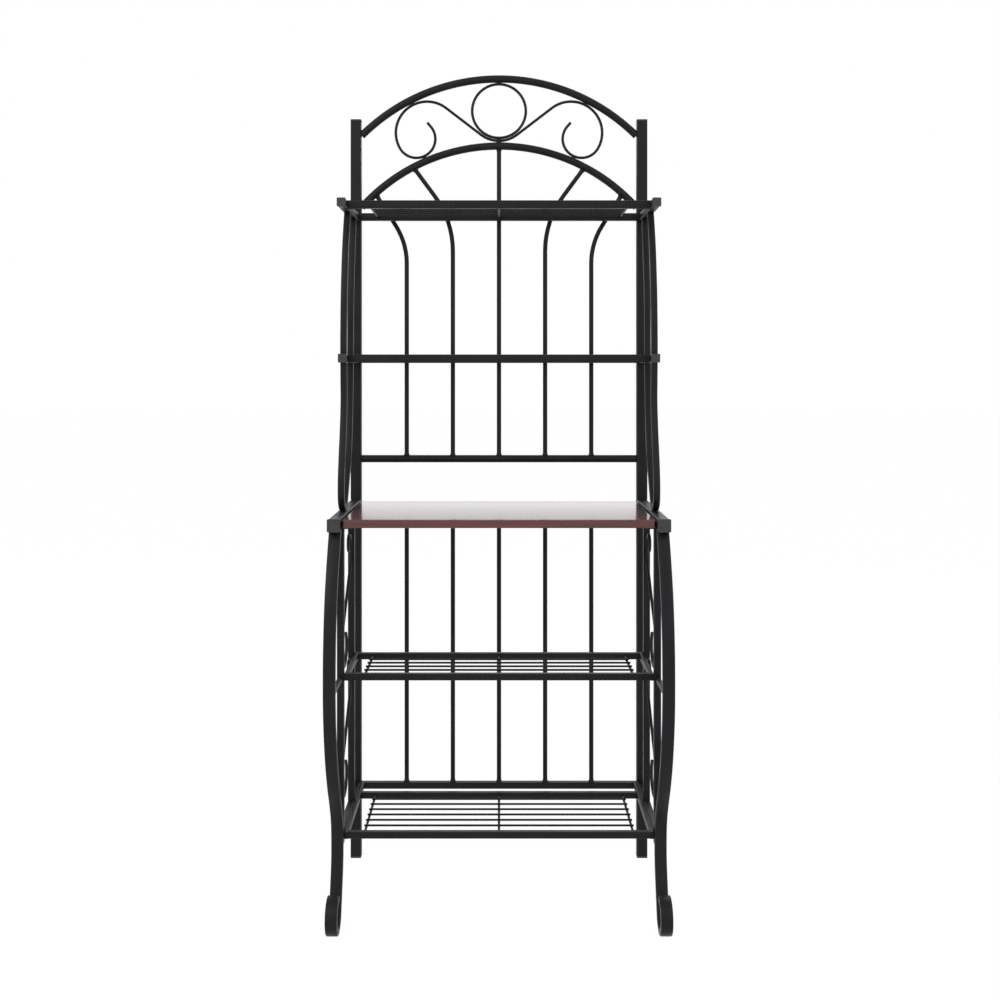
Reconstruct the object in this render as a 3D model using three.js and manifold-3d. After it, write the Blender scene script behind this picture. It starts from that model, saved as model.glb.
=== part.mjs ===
// Bakers rack: a welded steel tube and wire rack with a wood-look worktop board.
// Units are millimetres, +Z is up, +X is the right side and the front faces -Y.
// "Reach" is a distance in front of the front faces of the two rear uprights.

import * as THREE from 'three';
import { mergeVertices } from 'three/addons/utils/BufferGeometryUtils.js';
import Module from 'manifold-3d';

const wasm = await Module();
wasm.setup();

// Overall
const rackWidth = 635;
const weldGap = 0.3;          // clearance left at every welded or seated face
const cutOverrun = 5;

// Tubes, bars and wires
const mainTube = 22.5;        // square uprights and worktop arms
const tubeWall = 1.2;
const tubeCorner = 2.5;
const archTube = 16;          // round crest and top rail of the back panel
const backBar = 14;           // square rails of the lower back panel
const spindleRod = 9.5;
const scrollWire = 6;
const postBar = 13.5;         // square side posts
const legThickness = 12.7;    // flattened tube of the front legs
const braceBar = 12.7;
const upperShelfTube = 15.9;
const lowerShelfBar = 13;
const lowerShelfSideBar = 7.5;
const gridRod = 5;
const gridWire = 4;
const barCorner = 1.6;

// Heights: each level stands on the one below it
const armTop = 765.75;
const upperRailAboveArm = 87.25;
const upperRailAxisHeight = armTop + upperRailAboveArm;
const secondShelfAboveArm = 300.25;
const secondShelfHeight = armTop + secondShelfAboveArm;   // middle of the shelf tubes
const shelfSpacing = 303;
const topShelfHeight = secondShelfHeight + shelfSpacing;
const innerArchAboveShelf = 155;
const innerArchAxisHeight = topShelfHeight + innerArchAboveShelf;
const innerArchRise = 132;
const crestAboveInnerArch = 144;
const crestAxisHeight = innerArchAxisHeight + crestAboveInnerArch;
const crestRise = 122;
const uprightAboveInnerArch = 55.5;
const uprightTop = innerArchAxisHeight + uprightAboveInnerArch;
const lowerTopRailDrop = 44.75;
const lowerTopRailBottom = armTop - lowerTopRailDrop;
const lowerBottomRailBottom = 146;
const middleShelfBottom = 452;
const bottomShelfBottom = 151;

// Reaches
const armFront = 346;
const topShelfFront = 237;
const secondShelfFront = 220;
const upperFrontBarSetback = 29;    // of the cross bar behind the rail ends
const frontPostFront = 285;
const rearPostFront = 117;
const bottomShelfRearBarFront = 70;

// Worktop board and the angle that carries it
const boardDrop = 1.75;
const boardTop = armTop - boardDrop;
const boardThickness = 15.5;
const boardSideGap = 5;
const boardWidth = rackWidth - 2 * (mainTube + boardSideGap);
const boardRear = 8;
const boardDepth = 328.5;
const boardEdgeRadius = 2;
const angleThickness = 2;
const angleUpright = 14;
const angleShelf = 17;
const angleEndInset = 6;

// Plastic caps, plugs and their spigots
const uprightCapPlate = 3;
const footPlate = 4;
const armCapPlate = 3;
const armCapOverhang = 1;
const shelfCapPlate = 3;
const shelfCapOverhang = 0.6;
const spigotLength = 12;
const shelfTubeWall = 1.4;
const capEdge = 0.8;

// Spindles
const spindleSpacing = 99;
const innerSpindle = { kneeHeight: topShelfHeight - 5, leanDegrees: 36.5, bendRadius: 200 };
const outerSpindle = { kneeHeight: topShelfHeight - 53, leanDegrees: 32.4, bendRadius: 150 };

// Crest scroll: leaves the ring, loops over and ends in a short straight hook
const scrollLeaveDegrees = 37.4;
const scrollLoopRadius = 67;
const scrollLoopDegrees = 157.4;
const scrollCurlDegrees = 191;
const scrollHookLength = 11;

// Front legs: the S-shaped run, then the foot scroll
const legNeckReach = 292.2;
const legBulgeReach = 402.65;
const footRadius = 35.5;
const footCentreReach = 351;
const footJoinDegrees = 200;
const footEndDegrees = 98;
const legRouteShares = [
  // height share of the underside of the arm, reach share from neck to bulge
  [1.02, 0.2], [0.933, 0.529], [0.841, 0.8], [0.748, 0.945], [0.66, 1], [0.555, 0.964],
  [0.448, 0.768], [0.371, 0.514], [0.3095, 0.239], [0.256, 0.05], [0.2086, 0], [0.148, 0.02],
];
const legStubBar = 8;
const legStubHeight = 456;
const frontPostFoot = 142;

// Side scroll wires between the posts
const upperScrollHeight = 610;      // where the slanted run crosses its middle
const scrollDrop = 252;
const slantDegrees = 41.8;
const slantMiddleShare = 0.343;     // of the space between the posts, from the rear post
const upperCurlRadius = 41;
const upperCurlDegrees = 110;
const upperEyeRadius = 17;
const upperEyeDegrees = 190;
const lowerCurlRadius = 40;
const lowerCurlDegrees = 170;
const lowerEyeRadius = 34;
const lowerEyeDegrees = 105;

// Upper side braces: a U-shaped lower piece and two upper limbs, in shares
const braceFrontReach = 200.6;      // bar axis of the front limb at the second shelf
const braceRearReach = 92;          // bar axis of the rear limb at the second shelf
const braceFootReach = 208;
const braceFootRadius = 30;
const lowerFrontLimbShares = [
  // height share from arm to second shelf, reach share of braceFrontReach
  [0.12, 1.19], [0.21, 1.18], [0.36, 1.122], [0.53, 1.035], [0.72, 0.975], [0.86, 0.985], [1.02, 1],
];
const lowerRearLimbShares = [
  // height share from arm to second shelf, reach share of braceRearReach
  [1.02, 1], [0.86, 1.03], [0.6, 1.14], [0.36, 1.36], [0.21, 1.66],
];
const upperFrontLimbShares = [
  // height share from second to top shelf, reach share of braceFrontReach
  [-0.02, 1], [0.12, 1], [0.38, 0.97], [0.58, 0.915], [0.72, 0.86], [0.86, 0.777], [1.02, 0.66],
];
const upperRearLimbShares = [
  [-0.02, 1], [0.12, 0.975], [0.38, 0.94], [0.58, 0.822], [0.72, 0.71], [0.86, 0.57], [1.02, 0.39],
];

// Wire grids of the shelves
const wireSpacing = 28.9;
const gridRodOffset = 257;
const gridWireOverhang = 4;
const gridWireBite = 0.8;
const upperGridCount = 5;
const middleGridCount = 4;
const bottomGridCount = 6;

// Facets
const roundSides = 12;
const wireSides = 8;
const gridSides = 6;
const arcStepDegrees = 15;
const wireStepDegrees = 16;
const archSteps = 24;
const ringSteps = 32;
const curveSteps = 22;

// Worked-out places
const centreReach = (legBulgeReach + legThickness / 2 - mainTube) / 2;
const sideX = rackWidth / 2 - mainTube / 2;
const innerX = rackWidth / 2 - mainTube;
const backReach = -mainTube / 2;
const armAxisHeight = armTop - mainTube / 2;
const armBottom = armTop - mainTube;
const postX = innerX + postBar / 2;
const armCapFront = armFront + armCapPlate;
const postAxisFront = frontPostFront - postBar / 2;
const scrollX = postX;

const metal = (name, colour) => new THREE.MeshStandardMaterial({
  name, color: colour, roughness: 0.42, metalness: 0.55,
});
const blackSteel = metal('powder_coated_steel', 0x2b2b2f);
const blackWire = metal('powder_coated_wire', 0x26262a);
const capPlastic = new THREE.MeshStandardMaterial({
  name: 'cap_plastic', color: 0x464843, roughness: 0.6, metalness: 0,
});
const cherryLaminate = new THREE.MeshStandardMaterial({
  name: 'cherry_laminate', color: 0x552326, roughness: 0.25, metalness: 0,
});

const rack = new THREE.Group();
const degrees = (angle) => THREE.MathUtils.degToRad(angle);
const atReach = (reach) => centreReach - reach;
const point = (x, reach, height) => new THREE.Vector3(x, atReach(reach), height);

// Puts one named piece into the rack.
function addPiece(name, geometry, material) {
  const mesh = new THREE.Mesh(geometry, material);
  mesh.name = name;
  rack.add(mesh);
  return mesh;
}

// Turns a closed geometry into a solid that can be joined and cut.
function toSolid(geometry) {
  const bare = geometry.clone();
  bare.deleteAttribute('normal');
  bare.deleteAttribute('uv');
  const merged = mergeVertices(bare, 1e-5);
  return new wasm.Manifold(new wasm.Mesh({
    numProp: 3,
    vertProperties: new Float32Array(merged.attributes.position.array),
    triVerts: new Uint32Array(merged.index.array),
  }));
}

// Turns a solid back into a geometry.
function toGeometry(solid) {
  const mesh = solid.getMesh();
  const geometry = new THREE.BufferGeometry();
  const places = new Float32Array(mesh.numVert * 3);
  for (let i = 0; i < mesh.numVert; i += 1) {
    for (let axis = 0; axis < 3; axis += 1) {
      places[i * 3 + axis] = mesh.vertProperties[i * mesh.numProp + axis];
    }
  }
  geometry.setAttribute('position', new THREE.BufferAttribute(places, 3));
  geometry.setIndex(new THREE.BufferAttribute(new Uint32Array(mesh.triVerts), 1));
  geometry.computeVertexNormals();
  return geometry;
}

const joinAll = (geometries) => toGeometry(
  geometries.map(toSolid).reduce((whole, part) => whole.add(part)),
);
const cutAll = (geometry, cutters) => toGeometry(
  cutters.map(toSolid).reduce((whole, part) => whole.subtract(part), toSolid(geometry)),
);

// A box between two corners, given as x, reach and height ranges.
function box([x0, x1], [reach0, reach1], [z0, z1]) {
  const geometry = new THREE.BoxGeometry(Math.abs(x1 - x0), Math.abs(reach1 - reach0), Math.abs(z1 - z0));
  geometry.translate((x0 + x1) / 2, atReach((reach0 + reach1) / 2), (z0 + z1) / 2);
  return geometry;
}

// A rectangle with small rounded corners, centred on the origin of its plane.
function roundedRectangle(width, height, corner) {
  const shape = new THREE.Shape();
  const x = width / 2 - corner;
  const y = height / 2 - corner;
  shape.moveTo(x, -height / 2);
  shape.absarc(x, -y, corner, -Math.PI / 2, 0);
  shape.absarc(x, y, corner, 0, Math.PI / 2);
  shape.absarc(-x, y, corner, Math.PI / 2, Math.PI);
  shape.absarc(-x, -y, corner, Math.PI, Math.PI * 3 / 2);
  return shape;
}

// A square tube section, hollow when a wall is given.
function tubeSection(size, corner, wall) {
  const shape = roundedRectangle(size, size, corner);
  if (wall) {
    const bore = size - wall * 2;
    shape.holes.push(roundedRectangle(bore, bore, corner - wall));
  }
  return shape;
}

// A straight extrusion with a vertical axis, centred on x and reach.
function upright(shape, x, reach, bottom, top) {
  const geometry = new THREE.ExtrudeGeometry(shape, {
    depth: top - bottom, bevelEnabled: false, curveSegments: 2,
  });
  geometry.translate(x, atReach(reach), bottom);
  return geometry;
}

// A straight extrusion that runs from front to back, centred on x and height.
function frontToBack(shape, x, height, rearReach, frontReach) {
  const geometry = new THREE.ExtrudeGeometry(shape, {
    depth: frontReach - rearReach, bevelEnabled: false, curveSegments: 2,
  });
  geometry.rotateX(Math.PI / 2);
  geometry.translate(x, atReach(rearReach), height);
  return geometry;
}

// A straight extrusion that runs from left to right, centred on reach and height.
function leftToRight(shape, reach, height, halfLength) {
  const geometry = new THREE.ExtrudeGeometry(shape, {
    depth: halfLength * 2, bevelEnabled: false, curveSegments: 2,
  });
  geometry.rotateY(Math.PI / 2);
  geometry.translate(-halfLength, atReach(reach), height);
  return geometry;
}

// A round rod between two points.
function rod(from, to, diameter, sides) {
  const along = new THREE.Vector3().subVectors(to, from);
  const geometry = new THREE.CylinderGeometry(diameter / 2, diameter / 2, along.length(), sides);
  geometry.applyQuaternion(new THREE.Quaternion().setFromUnitVectors(
    new THREE.Vector3(0, 1, 0), along.clone().normalize(),
  ));
  geometry.translate(...new THREE.Vector3().addVectors(from, to).multiplyScalar(0.5).toArray());
  return geometry;
}

// A route made of stations, each with its own place and direction.
class StationRoute extends THREE.Curve {
  constructor(stations) {
    super();
    this.stations = stations;
  }

  nearest(share) {
    return this.stations[Math.round(share * (this.stations.length - 1))];
  }

  getPoint(share, target = new THREE.Vector3()) {
    return target.copy(this.nearest(share).place);
  }

  getPointAt(share, target) {
    return this.getPoint(share, target);
  }

  getTangentAt(share, target = new THREE.Vector3()) {
    return target.copy(this.nearest(share).direction);
  }
}

// Carries a section along stations.
function sweep(shape, stations) {
  return new THREE.ExtrudeGeometry(shape, {
    steps: stations.length - 1,
    bevelEnabled: false,
    curveSegments: 1,
    extrudePath: new StationRoute(stations),
  });
}

// A round section as a polygon with flat sides.
function roundSection(diameter, sides) {
  const corners = [];
  for (let i = 0; i < sides; i += 1) {
    const angle = Math.PI * 2 * i / sides;
    corners.push(new THREE.Vector2(Math.cos(angle), Math.sin(angle)).multiplyScalar(diameter / 2));
  }
  return new THREE.Shape(corners);
}

// A bar section whose corners are taken off by a flat.
function barSection(width, thickness) {
  const x = width / 2;
  const y = thickness / 2;
  return new THREE.Shape([
    [x - barCorner, -y], [x, -y + barCorner], [x, y - barCorner], [x - barCorner, y],
    [-x + barCorner, y], [-x, y - barCorner], [-x, -y + barCorner], [-x + barCorner, -y],
  ].map(([a, b]) => new THREE.Vector2(a, b)));
}

// Bends a wire in a plane: straight runs and arcs, with left turns positive.
// Returns flat stations [u, v, heading in degrees].
function bendWire(start, heading, moves, stepDegrees = wireStepDegrees) {
  let [u, v] = start;
  let angle = heading;
  const flat = [[u, v, angle]];
  for (const move of moves) {
    if (move.run) {
      u += move.run * Math.cos(degrees(angle));
      v += move.run * Math.sin(degrees(angle));
      flat.push([u, v, angle]);
    } else {
      const side = Math.sign(move.turn);
      const centreU = u - side * move.radius * Math.sin(degrees(angle));
      const centreV = v + side * move.radius * Math.cos(degrees(angle));
      const steps = Math.ceil(Math.abs(move.turn) / stepDegrees);
      const first = angle;
      for (let i = 1; i <= steps; i += 1) {
        angle = first + move.turn * i / steps;
        u = centreU + side * move.radius * Math.sin(degrees(angle));
        v = centreV - side * move.radius * Math.cos(degrees(angle));
        flat.push([u, v, angle]);
      }
    }
  }
  return flat;
}

// Places flat stations in the plane of the back panel.
const inBackPlane = (flat) => flat.map(([u, v, angle]) => ({
  place: point(u, backReach, v),
  direction: new THREE.Vector3(Math.cos(degrees(angle)), 0, Math.sin(degrees(angle))),
}));

// Places flat stations in a side plane, where u is the reach.
const inSidePlane = (flat, x) => flat.map(([u, v, angle]) => ({
  place: point(x, u, v),
  direction: new THREE.Vector3(0, -Math.cos(degrees(angle)), Math.sin(degrees(angle))),
}));

// Runs the same flat stations the other way.
const reversed = (flat) => flat.map(([u, v, angle]) => [u, v, angle + 180]).reverse();

// Stations along a smooth curve through places in a side plane.
function smoothStations(x, reachesAndHeights, steps) {
  const curve = new THREE.CatmullRomCurve3(
    reachesAndHeights.map(([reach, height]) => point(x, reach, height)), false, 'centripetal',
  );
  const stations = [];
  for (let i = 0; i <= steps; i += 1) {
    stations.push({ place: curve.getPointAt(i / steps), direction: curve.getTangentAt(i / steps) });
  }
  return stations;
}

// A circular arch between the uprights.
function archShape(axisHeight, rise) {
  const radius = (innerX ** 2 + rise ** 2) / (2 * rise);
  return { radius, centreHeight: axisHeight - radius };
}

function archSolid(arch, diameter, halfSpan) {
  const reachAngle = THREE.MathUtils.radToDeg(Math.asin(halfSpan / arch.radius));
  const start = [-halfSpan, arch.centreHeight + arch.radius * Math.cos(degrees(reachAngle))];
  const flat = bendWire(start, reachAngle, [
    { radius: arch.radius, turn: -2 * reachAngle },
  ], 2 * reachAngle / archSteps);
  return sweep(roundSection(diameter, roundSides), inBackPlane(flat));
}

const crestArch = archShape(crestAxisHeight, crestRise);
const innerArch = archShape(innerArchAxisHeight, innerArchRise);

// The two uprights of the back, each in a lower and an upper length.
function makeUprights() {
  const section = () => tubeSection(mainTube, tubeCorner, tubeWall);
  for (const [side, label] of [[-1, 'left'], [1, 'right']]) {
    const x = side * sideX;
    addPiece(`lower_upright_${label}`,
      upright(section(), x, backReach, footPlate + weldGap, armBottom - weldGap), blackSteel);
    addPiece(`upper_upright_${label}`,
      upright(section(), x, backReach, armTop + weldGap, uprightTop - uprightCapPlate - weldGap), blackSteel);
    addPiece(`upright_cap_${label}`, plug(x, uprightTop, uprightCapPlate, -1), capPlastic);
    addPiece(`rear_foot_${label}`, plug(x, 0, footPlate, 1), capPlastic);
  }
}

// A plug for the end of an upright: a square plate and a spigot inside the tube.
function plug(x, outerHeight, plate, inward) {
  const spigot = mainTube - 2 * (tubeWall + weldGap);
  const plateInner = outerHeight + inward * plate;
  const spigotEnd = plateInner + inward * spigotLength;
  const spigotCorner = tubeCorner - tubeWall;
  return joinAll([
    upright(roundedRectangle(mainTube, mainTube, tubeCorner), x, backReach,
      Math.min(outerHeight, plateInner), Math.max(outerHeight, plateInner)),
    upright(roundedRectangle(spigot, spigot, spigotCorner), x, backReach,
      Math.min(plateInner - inward * plate / 2, spigotEnd), Math.max(plateInner - inward * plate / 2, spigotEnd)),
  ]);
}

// The two arches, trimmed to the flat inner faces of the uprights.
function makeArches() {
  const span = innerX - weldGap;
  const height = [0, uprightTop + crestAxisHeight];
  const reach = [-mainTube * 2, mainTube];
  const trims = [
    box([span, innerX + mainTube * 2], reach, height),
    box([-innerX - mainTube * 2, -span], reach, height),
  ];
  for (const [name, arch] of [['crest_arch', crestArch], ['inner_arch', innerArch]]) {
    addPiece(name, cutAll(archSolid(arch, archTube, innerX + cutOverrun), trims), blackSteel);
  }
}

// The ring that fills the space between the two arches above the scroll wire.
const ringOuterRadius = (crestAxisHeight - innerArchAxisHeight - archTube - scrollWire - 3 * weldGap) / 2;
const ringHeight = crestAxisHeight - archTube / 2 - weldGap - ringOuterRadius;

function makeRing() {
  const wireRadius = scrollWire / 2;
  const profile = [];
  for (let i = 0; i <= wireSides; i += 1) {
    const angle = Math.PI * 2 * i / wireSides;
    profile.push(new THREE.Vector2(
      ringOuterRadius - wireRadius + wireRadius * Math.cos(angle), wireRadius * Math.sin(angle),
    ));
  }
  profile[wireSides].copy(profile[0]);
  const geometry = new THREE.LatheGeometry(profile, ringSteps);
  geometry.translate(0, atReach(backReach), ringHeight);
  addPiece('crest_ring', geometry, blackWire);
}

// One scroll wire runs under the ring and ends in a loop on each side.
// The loops touch both arches, so their run and curl radius come from the arches.
function makeCrestScroll() {
  const wireRadius = scrollWire / 2;
  const hug = ringOuterRadius + weldGap + wireRadius;
  const leave = degrees(scrollLeaveDegrees);
  const along = new THREE.Vector2(Math.cos(leave), Math.sin(leave));
  const leavePlace = new THREE.Vector2(hug * Math.sin(leave), ringHeight - hug * Math.cos(leave));
  const loopBase = leavePlace.clone().add(
    new THREE.Vector2(Math.sin(leave), -Math.cos(leave)).multiplyScalar(scrollLoopRadius),
  );
  const crestClear = crestArch.radius - archTube / 2 - weldGap - wireRadius - scrollLoopRadius;
  const fromCrest = loopBase.clone().sub(new THREE.Vector2(0, crestArch.centreHeight));
  const half = fromCrest.dot(along);
  const run = -half + Math.sqrt(half ** 2 - fromCrest.lengthSq() + crestClear ** 2);
  const loopCentre = loopBase.clone().addScaledVector(along, run);
  const change = degrees(scrollLeaveDegrees - scrollLoopDegrees + 90);
  const outward = new THREE.Vector2(Math.cos(change), Math.sin(change));
  const fromInner = loopCentre.clone().addScaledVector(outward, scrollLoopRadius)
    .sub(new THREE.Vector2(0, innerArch.centreHeight));
  const innerClear = innerArch.radius + archTube / 2 + weldGap + wireRadius;
  const curlRadius = (fromInner.lengthSq() - innerClear ** 2) / (2 * (innerClear + fromInner.dot(outward)));
  const rightHalf = bendWire([0, ringHeight - hug], 0, [
    { radius: hug, turn: scrollLeaveDegrees },
    { run },
    { radius: scrollLoopRadius, turn: -scrollLoopDegrees },
    { radius: curlRadius, turn: -scrollCurlDegrees },
    { run: scrollHookLength },
  ]);
  const leftHalf = rightHalf.map(([u, v, angle]) => [-u, v, 180 - angle]);
  const whole = [...reversed(leftHalf), ...rightHalf.slice(1)];
  addPiece('crest_scroll_wire', sweep(roundSection(scrollWire, wireSides), inBackPlane(whole)), blackWire);
}

// Five spindles above the worktop: the outer four lean out to meet the arch.
function makeUpperSpindles() {
  const fatRail = leftToRight(roundSection(archTube + 2 * weldGap, roundSides),
    backReach, upperRailAxisHeight, innerX);
  const fatArch = archSolid(innerArch, archTube + 2 * weldGap, innerX);
  for (let i = -2; i <= 2; i += 1) {
    const x = i * spindleSpacing;
    const archHeight = (away) => innerArch.centreHeight + Math.sqrt(innerArch.radius ** 2 - away ** 2);
    let moves;
    if (i === 0) {
      moves = [{ run: archHeight(0) - upperRailAxisHeight }];
    } else {
      const bend = Math.abs(i) === 1 ? innerSpindle : outerSpindle;
      const lean = degrees(bend.leanDegrees);
      const setback = bend.bendRadius * Math.tan(lean / 2);
      let reach = 0;
      let rest = setback;
      const away = (run) => Math.abs(x) + run * Math.sin(lean);
      while (bend.kneeHeight + rest * Math.cos(lean) < archHeight(away(rest)) && reach < innerArch.radius) {
        rest += weldGap;
        reach += weldGap;
      }
      moves = [
        { run: bend.kneeHeight - setback - upperRailAxisHeight },
        { radius: bend.bendRadius, turn: -Math.sign(i) * bend.leanDegrees },
        { run: rest - setback },
      ];
    }
    const flat = bendWire([x, upperRailAxisHeight], 90, moves, arcStepDegrees / 3);
    const spindle = sweep(roundSection(spindleRod, wireSides), inBackPlane(flat));
    addPiece(`upper_spindle_${i + 3}`, cutAll(spindle, [fatRail, fatArch]), blackSteel);
  }
}

// The rails of the back panel and the straight spindles below the worktop.
function makeBackRails() {
  const span = innerX - weldGap;
  addPiece('upper_back_rail',
    leftToRight(roundSection(archTube, roundSides), backReach, upperRailAxisHeight, span), blackSteel);
  const section = () => tubeSection(backBar, barCorner);
  addPiece('lower_back_top_rail',
    leftToRight(section(), backReach, lowerTopRailBottom + backBar / 2, span), blackSteel);
  addPiece('lower_back_bottom_rail',
    leftToRight(section(), backReach, lowerBottomRailBottom + backBar / 2, span), blackSteel);
  for (let i = -2; i <= 2; i += 1) {
    const x = i * spindleSpacing;
    addPiece(`lower_spindle_${i + 3}`, rod(
      point(x, backReach, lowerBottomRailBottom + backBar + weldGap),
      point(x, backReach, lowerTopRailBottom - weldGap), spindleRod, roundSides,
    ), blackSteel);
  }
}

// A front leg: an S-shaped bar that ends in a foot scroll, trimmed under the arm.
function makeFrontLeg(side, label) {
  const x = side * sideX;
  const bulge = legBulgeReach - legNeckReach;
  const run = legRouteShares.map(([up, out]) => [legNeckReach + out * bulge, up * armBottom]);
  const curl = footRadius - legThickness / 2;
  for (let angle = footJoinDegrees; angle <= 360 + footEndDegrees; angle += arcStepDegrees * 2) {
    run.push([footCentreReach + curl * Math.cos(degrees(angle)), footRadius + curl * Math.sin(degrees(angle))]);
  }
  const above = smoothStations(x, run.slice(0, legRouteShares.length + 1), curveSteps);
  const foot = bendWire([run[legRouteShares.length][0], run[legRouteShares.length][1]],
    footJoinDegrees + 90, [
      { radius: curl, turn: 360 + footEndDegrees - footJoinDegrees },
    ]);
  above.pop();
  const stations = [...above, ...inSidePlane(foot, x)];
  const bar = sweep(barSection(mainTube, legThickness), stations);
  const half = mainTube;
  const trim = box([x - half, x + half], [legNeckReach - half, legBulgeReach + half],
    [armBottom - weldGap, armTop + half]);
  addPiece(`front_leg_${label}`, cutAll(bar, [trim]), blackSteel);
}

// The reach of the back face of a leg at a height, read off its curve.
function legBackReach(height) {
  const bulge = legBulgeReach - legNeckReach;
  const curve = new THREE.CatmullRomCurve3(legRouteShares.map(
    ([up, out]) => new THREE.Vector3(0, legNeckReach + out * bulge, up * armBottom),
  ), false, 'centripetal');
  const places = curve.getSpacedPoints(legRouteShares.length * curveSteps);
  const nearest = places.reduce((best, place) => (
    Math.abs(place.z - height) < Math.abs(best.z - height) ? place : best));
  return nearest.y - legThickness / 2;
}

// The posts, bottom rail and scroll wires of one side, under the worktop arm.
function makeSideFrame(side, label) {
  const x = side * postX;
  const section = () => tubeSection(postBar, barCorner);
  const railTop = bottomShelfBottom + lowerShelfBar;
  const stubEnd = legBackReach(legStubHeight) - 2 * weldGap;
  addPiece(`front_post_${label}`, joinAll([
    upright(section(), x, postAxisFront, frontPostFoot, armBottom - weldGap),
    box([x - legStubBar / 2, x + legStubBar / 2], [postAxisFront, stubEnd],
      [legStubHeight - legStubBar / 2, legStubHeight + legStubBar / 2]),
  ]), blackSteel);
  addPiece(`rear_post_${label}`,
    upright(section(), x, rearPostFront - postBar / 2, railTop + weldGap, armBottom - weldGap), blackSteel);
  addPiece(`side_bottom_rail_${label}`,
    frontToBack(section(), x, railTop - postBar / 2, weldGap, frontPostFront - postBar - weldGap), blackSteel);
  for (const [name, height] of [['upper', upperScrollHeight], ['lower', upperScrollHeight - scrollDrop]]) {
    addPiece(`side_scroll_${name}_${label}`,
      sweep(roundSection(scrollWire, wireSides), inSidePlane(sideScroll(height), side * scrollX)), blackWire);
  }
}

// An S-shaped wire whose curls touch the rear post at the top and the front post below.
function sideScroll(height) {
  const clear = weldGap + scrollWire / 2;
  const rearTouch = rearPostFront + clear;
  const frontTouch = frontPostFront - postBar - clear;
  const middle = rearTouch + (frontTouch - rearTouch) * slantMiddleShare;
  const cosine = Math.cos(degrees(slantDegrees));
  const sine = Math.sin(degrees(slantDegrees));
  const upRun = (middle - rearTouch - upperCurlRadius * (1 - sine)) / cosine;
  const downRun = (frontTouch - middle - lowerCurlRadius * (1 - sine)) / cosine;
  const up = bendWire([middle, height], 180 - slantDegrees, [
    { run: upRun },
    { radius: upperCurlRadius, turn: -upperCurlDegrees },
    { radius: upperEyeRadius, turn: -upperEyeDegrees },
  ]);
  const down = bendWire([middle, height], -slantDegrees, [
    { run: downRun },
    { radius: lowerCurlRadius, turn: -lowerCurlDegrees },
    { radius: lowerEyeRadius, turn: -lowerEyeDegrees },
  ]);
  return [...reversed(up), ...down.slice(1)];
}

// A worktop arm with the angle that carries the board, and its front cap.
function makeArm(side, label) {
  const x = side * sideX;
  const arm = frontToBack(tubeSection(mainTube, tubeCorner, tubeWall), x, armAxisHeight, -mainTube, armFront - weldGap);
  const face = side * (innerX + tubeWall / 2);
  const inner = side * (innerX - angleThickness);
  const lip = side * (innerX - angleThickness - angleShelf);
  const boardBottom = boardTop - boardThickness;
  const seat = boardBottom - weldGap - angleThickness;
  const reach = [boardRear + angleEndInset, boardRear + boardDepth - angleEndInset];
  addPiece(`worktop_arm_${label}`, joinAll([
    arm,
    box([face, inner], reach, [seat, seat + angleUpright]),
    box([face, lip], reach, [seat, seat + angleThickness]),
  ]), blackSteel);
  const capSize = mainTube + 2 * armCapOverhang;
  const spigot = mainTube - 2 * (tubeWall + weldGap);
  addPiece(`arm_cap_${label}`, joinAll([
    frontToBack(roundedRectangle(capSize, capSize, tubeCorner), x, armAxisHeight, armFront, armCapFront),
    frontToBack(roundedRectangle(spigot, spigot, tubeCorner - tubeWall), x, armAxisHeight,
      armFront - spigotLength, armFront + armCapPlate / 2),
  ]), capPlastic);
}

// The places of a limb, from shares of a height range and of a reach.
const limbPlaces = (shares, low, high, reach) => shares.map(
  ([up, out]) => [reach * out, low + (high - low) * up],
);

// The bent bars between the worktop arm and the two upper shelves on one side.
function makeBraces(side, label) {
  const x = side * sideX;
  const bar = barSection(braceBar, braceBar);
  const wide = [x - mainTube, x + mainTube];
  const deep = [-mainTube, armFront];
  const secondBottom = secondShelfHeight - upperShelfTube / 2 - weldGap;
  const secondTop = secondShelfHeight + upperShelfTube / 2 + weldGap;
  const topBottom = topShelfHeight - upperShelfTube / 2 - weldGap;
  const foot = [];
  const footHeight = armTop + weldGap + braceBar / 2 + braceFootRadius;
  for (let angle = 225; angle <= 345; angle += arcStepDegrees * 2) {
    foot.push([
      braceFootReach + braceFootRadius * Math.cos(degrees(angle)),
      footHeight + braceFootRadius * Math.sin(degrees(angle)),
    ]);
  }
  const lower = [
    ...limbPlaces(lowerRearLimbShares, armTop, secondShelfHeight, braceRearReach),
    ...foot,
    ...limbPlaces(lowerFrontLimbShares.slice(1), armTop, secondShelfHeight, braceFrontReach),
  ];
  const aboveSecond = box(wide, deep, [secondBottom, topShelfHeight]);
  const belowSecond = box(wide, deep, [armTop, secondTop]);
  const aboveTop = box(wide, deep, [topBottom, uprightTop]);
  addPiece(`lower_brace_${label}`,
    cutAll(sweep(bar, smoothStations(x, lower, curveSteps * 2)), [aboveSecond]), blackSteel);
  const limbs = [
    ['front', upperFrontLimbShares, braceFrontReach], ['rear', upperRearLimbShares, braceRearReach],
  ];
  for (const [name, shares, reach] of limbs) {
    const places = limbPlaces(shares, secondShelfHeight, topShelfHeight, reach);
    addPiece(`upper_brace_${name}_${label}`,
      cutAll(sweep(bar, smoothStations(x, places, curveSteps / 2)), [belowSecond, aboveTop]), blackSteel);
  }
}

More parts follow.
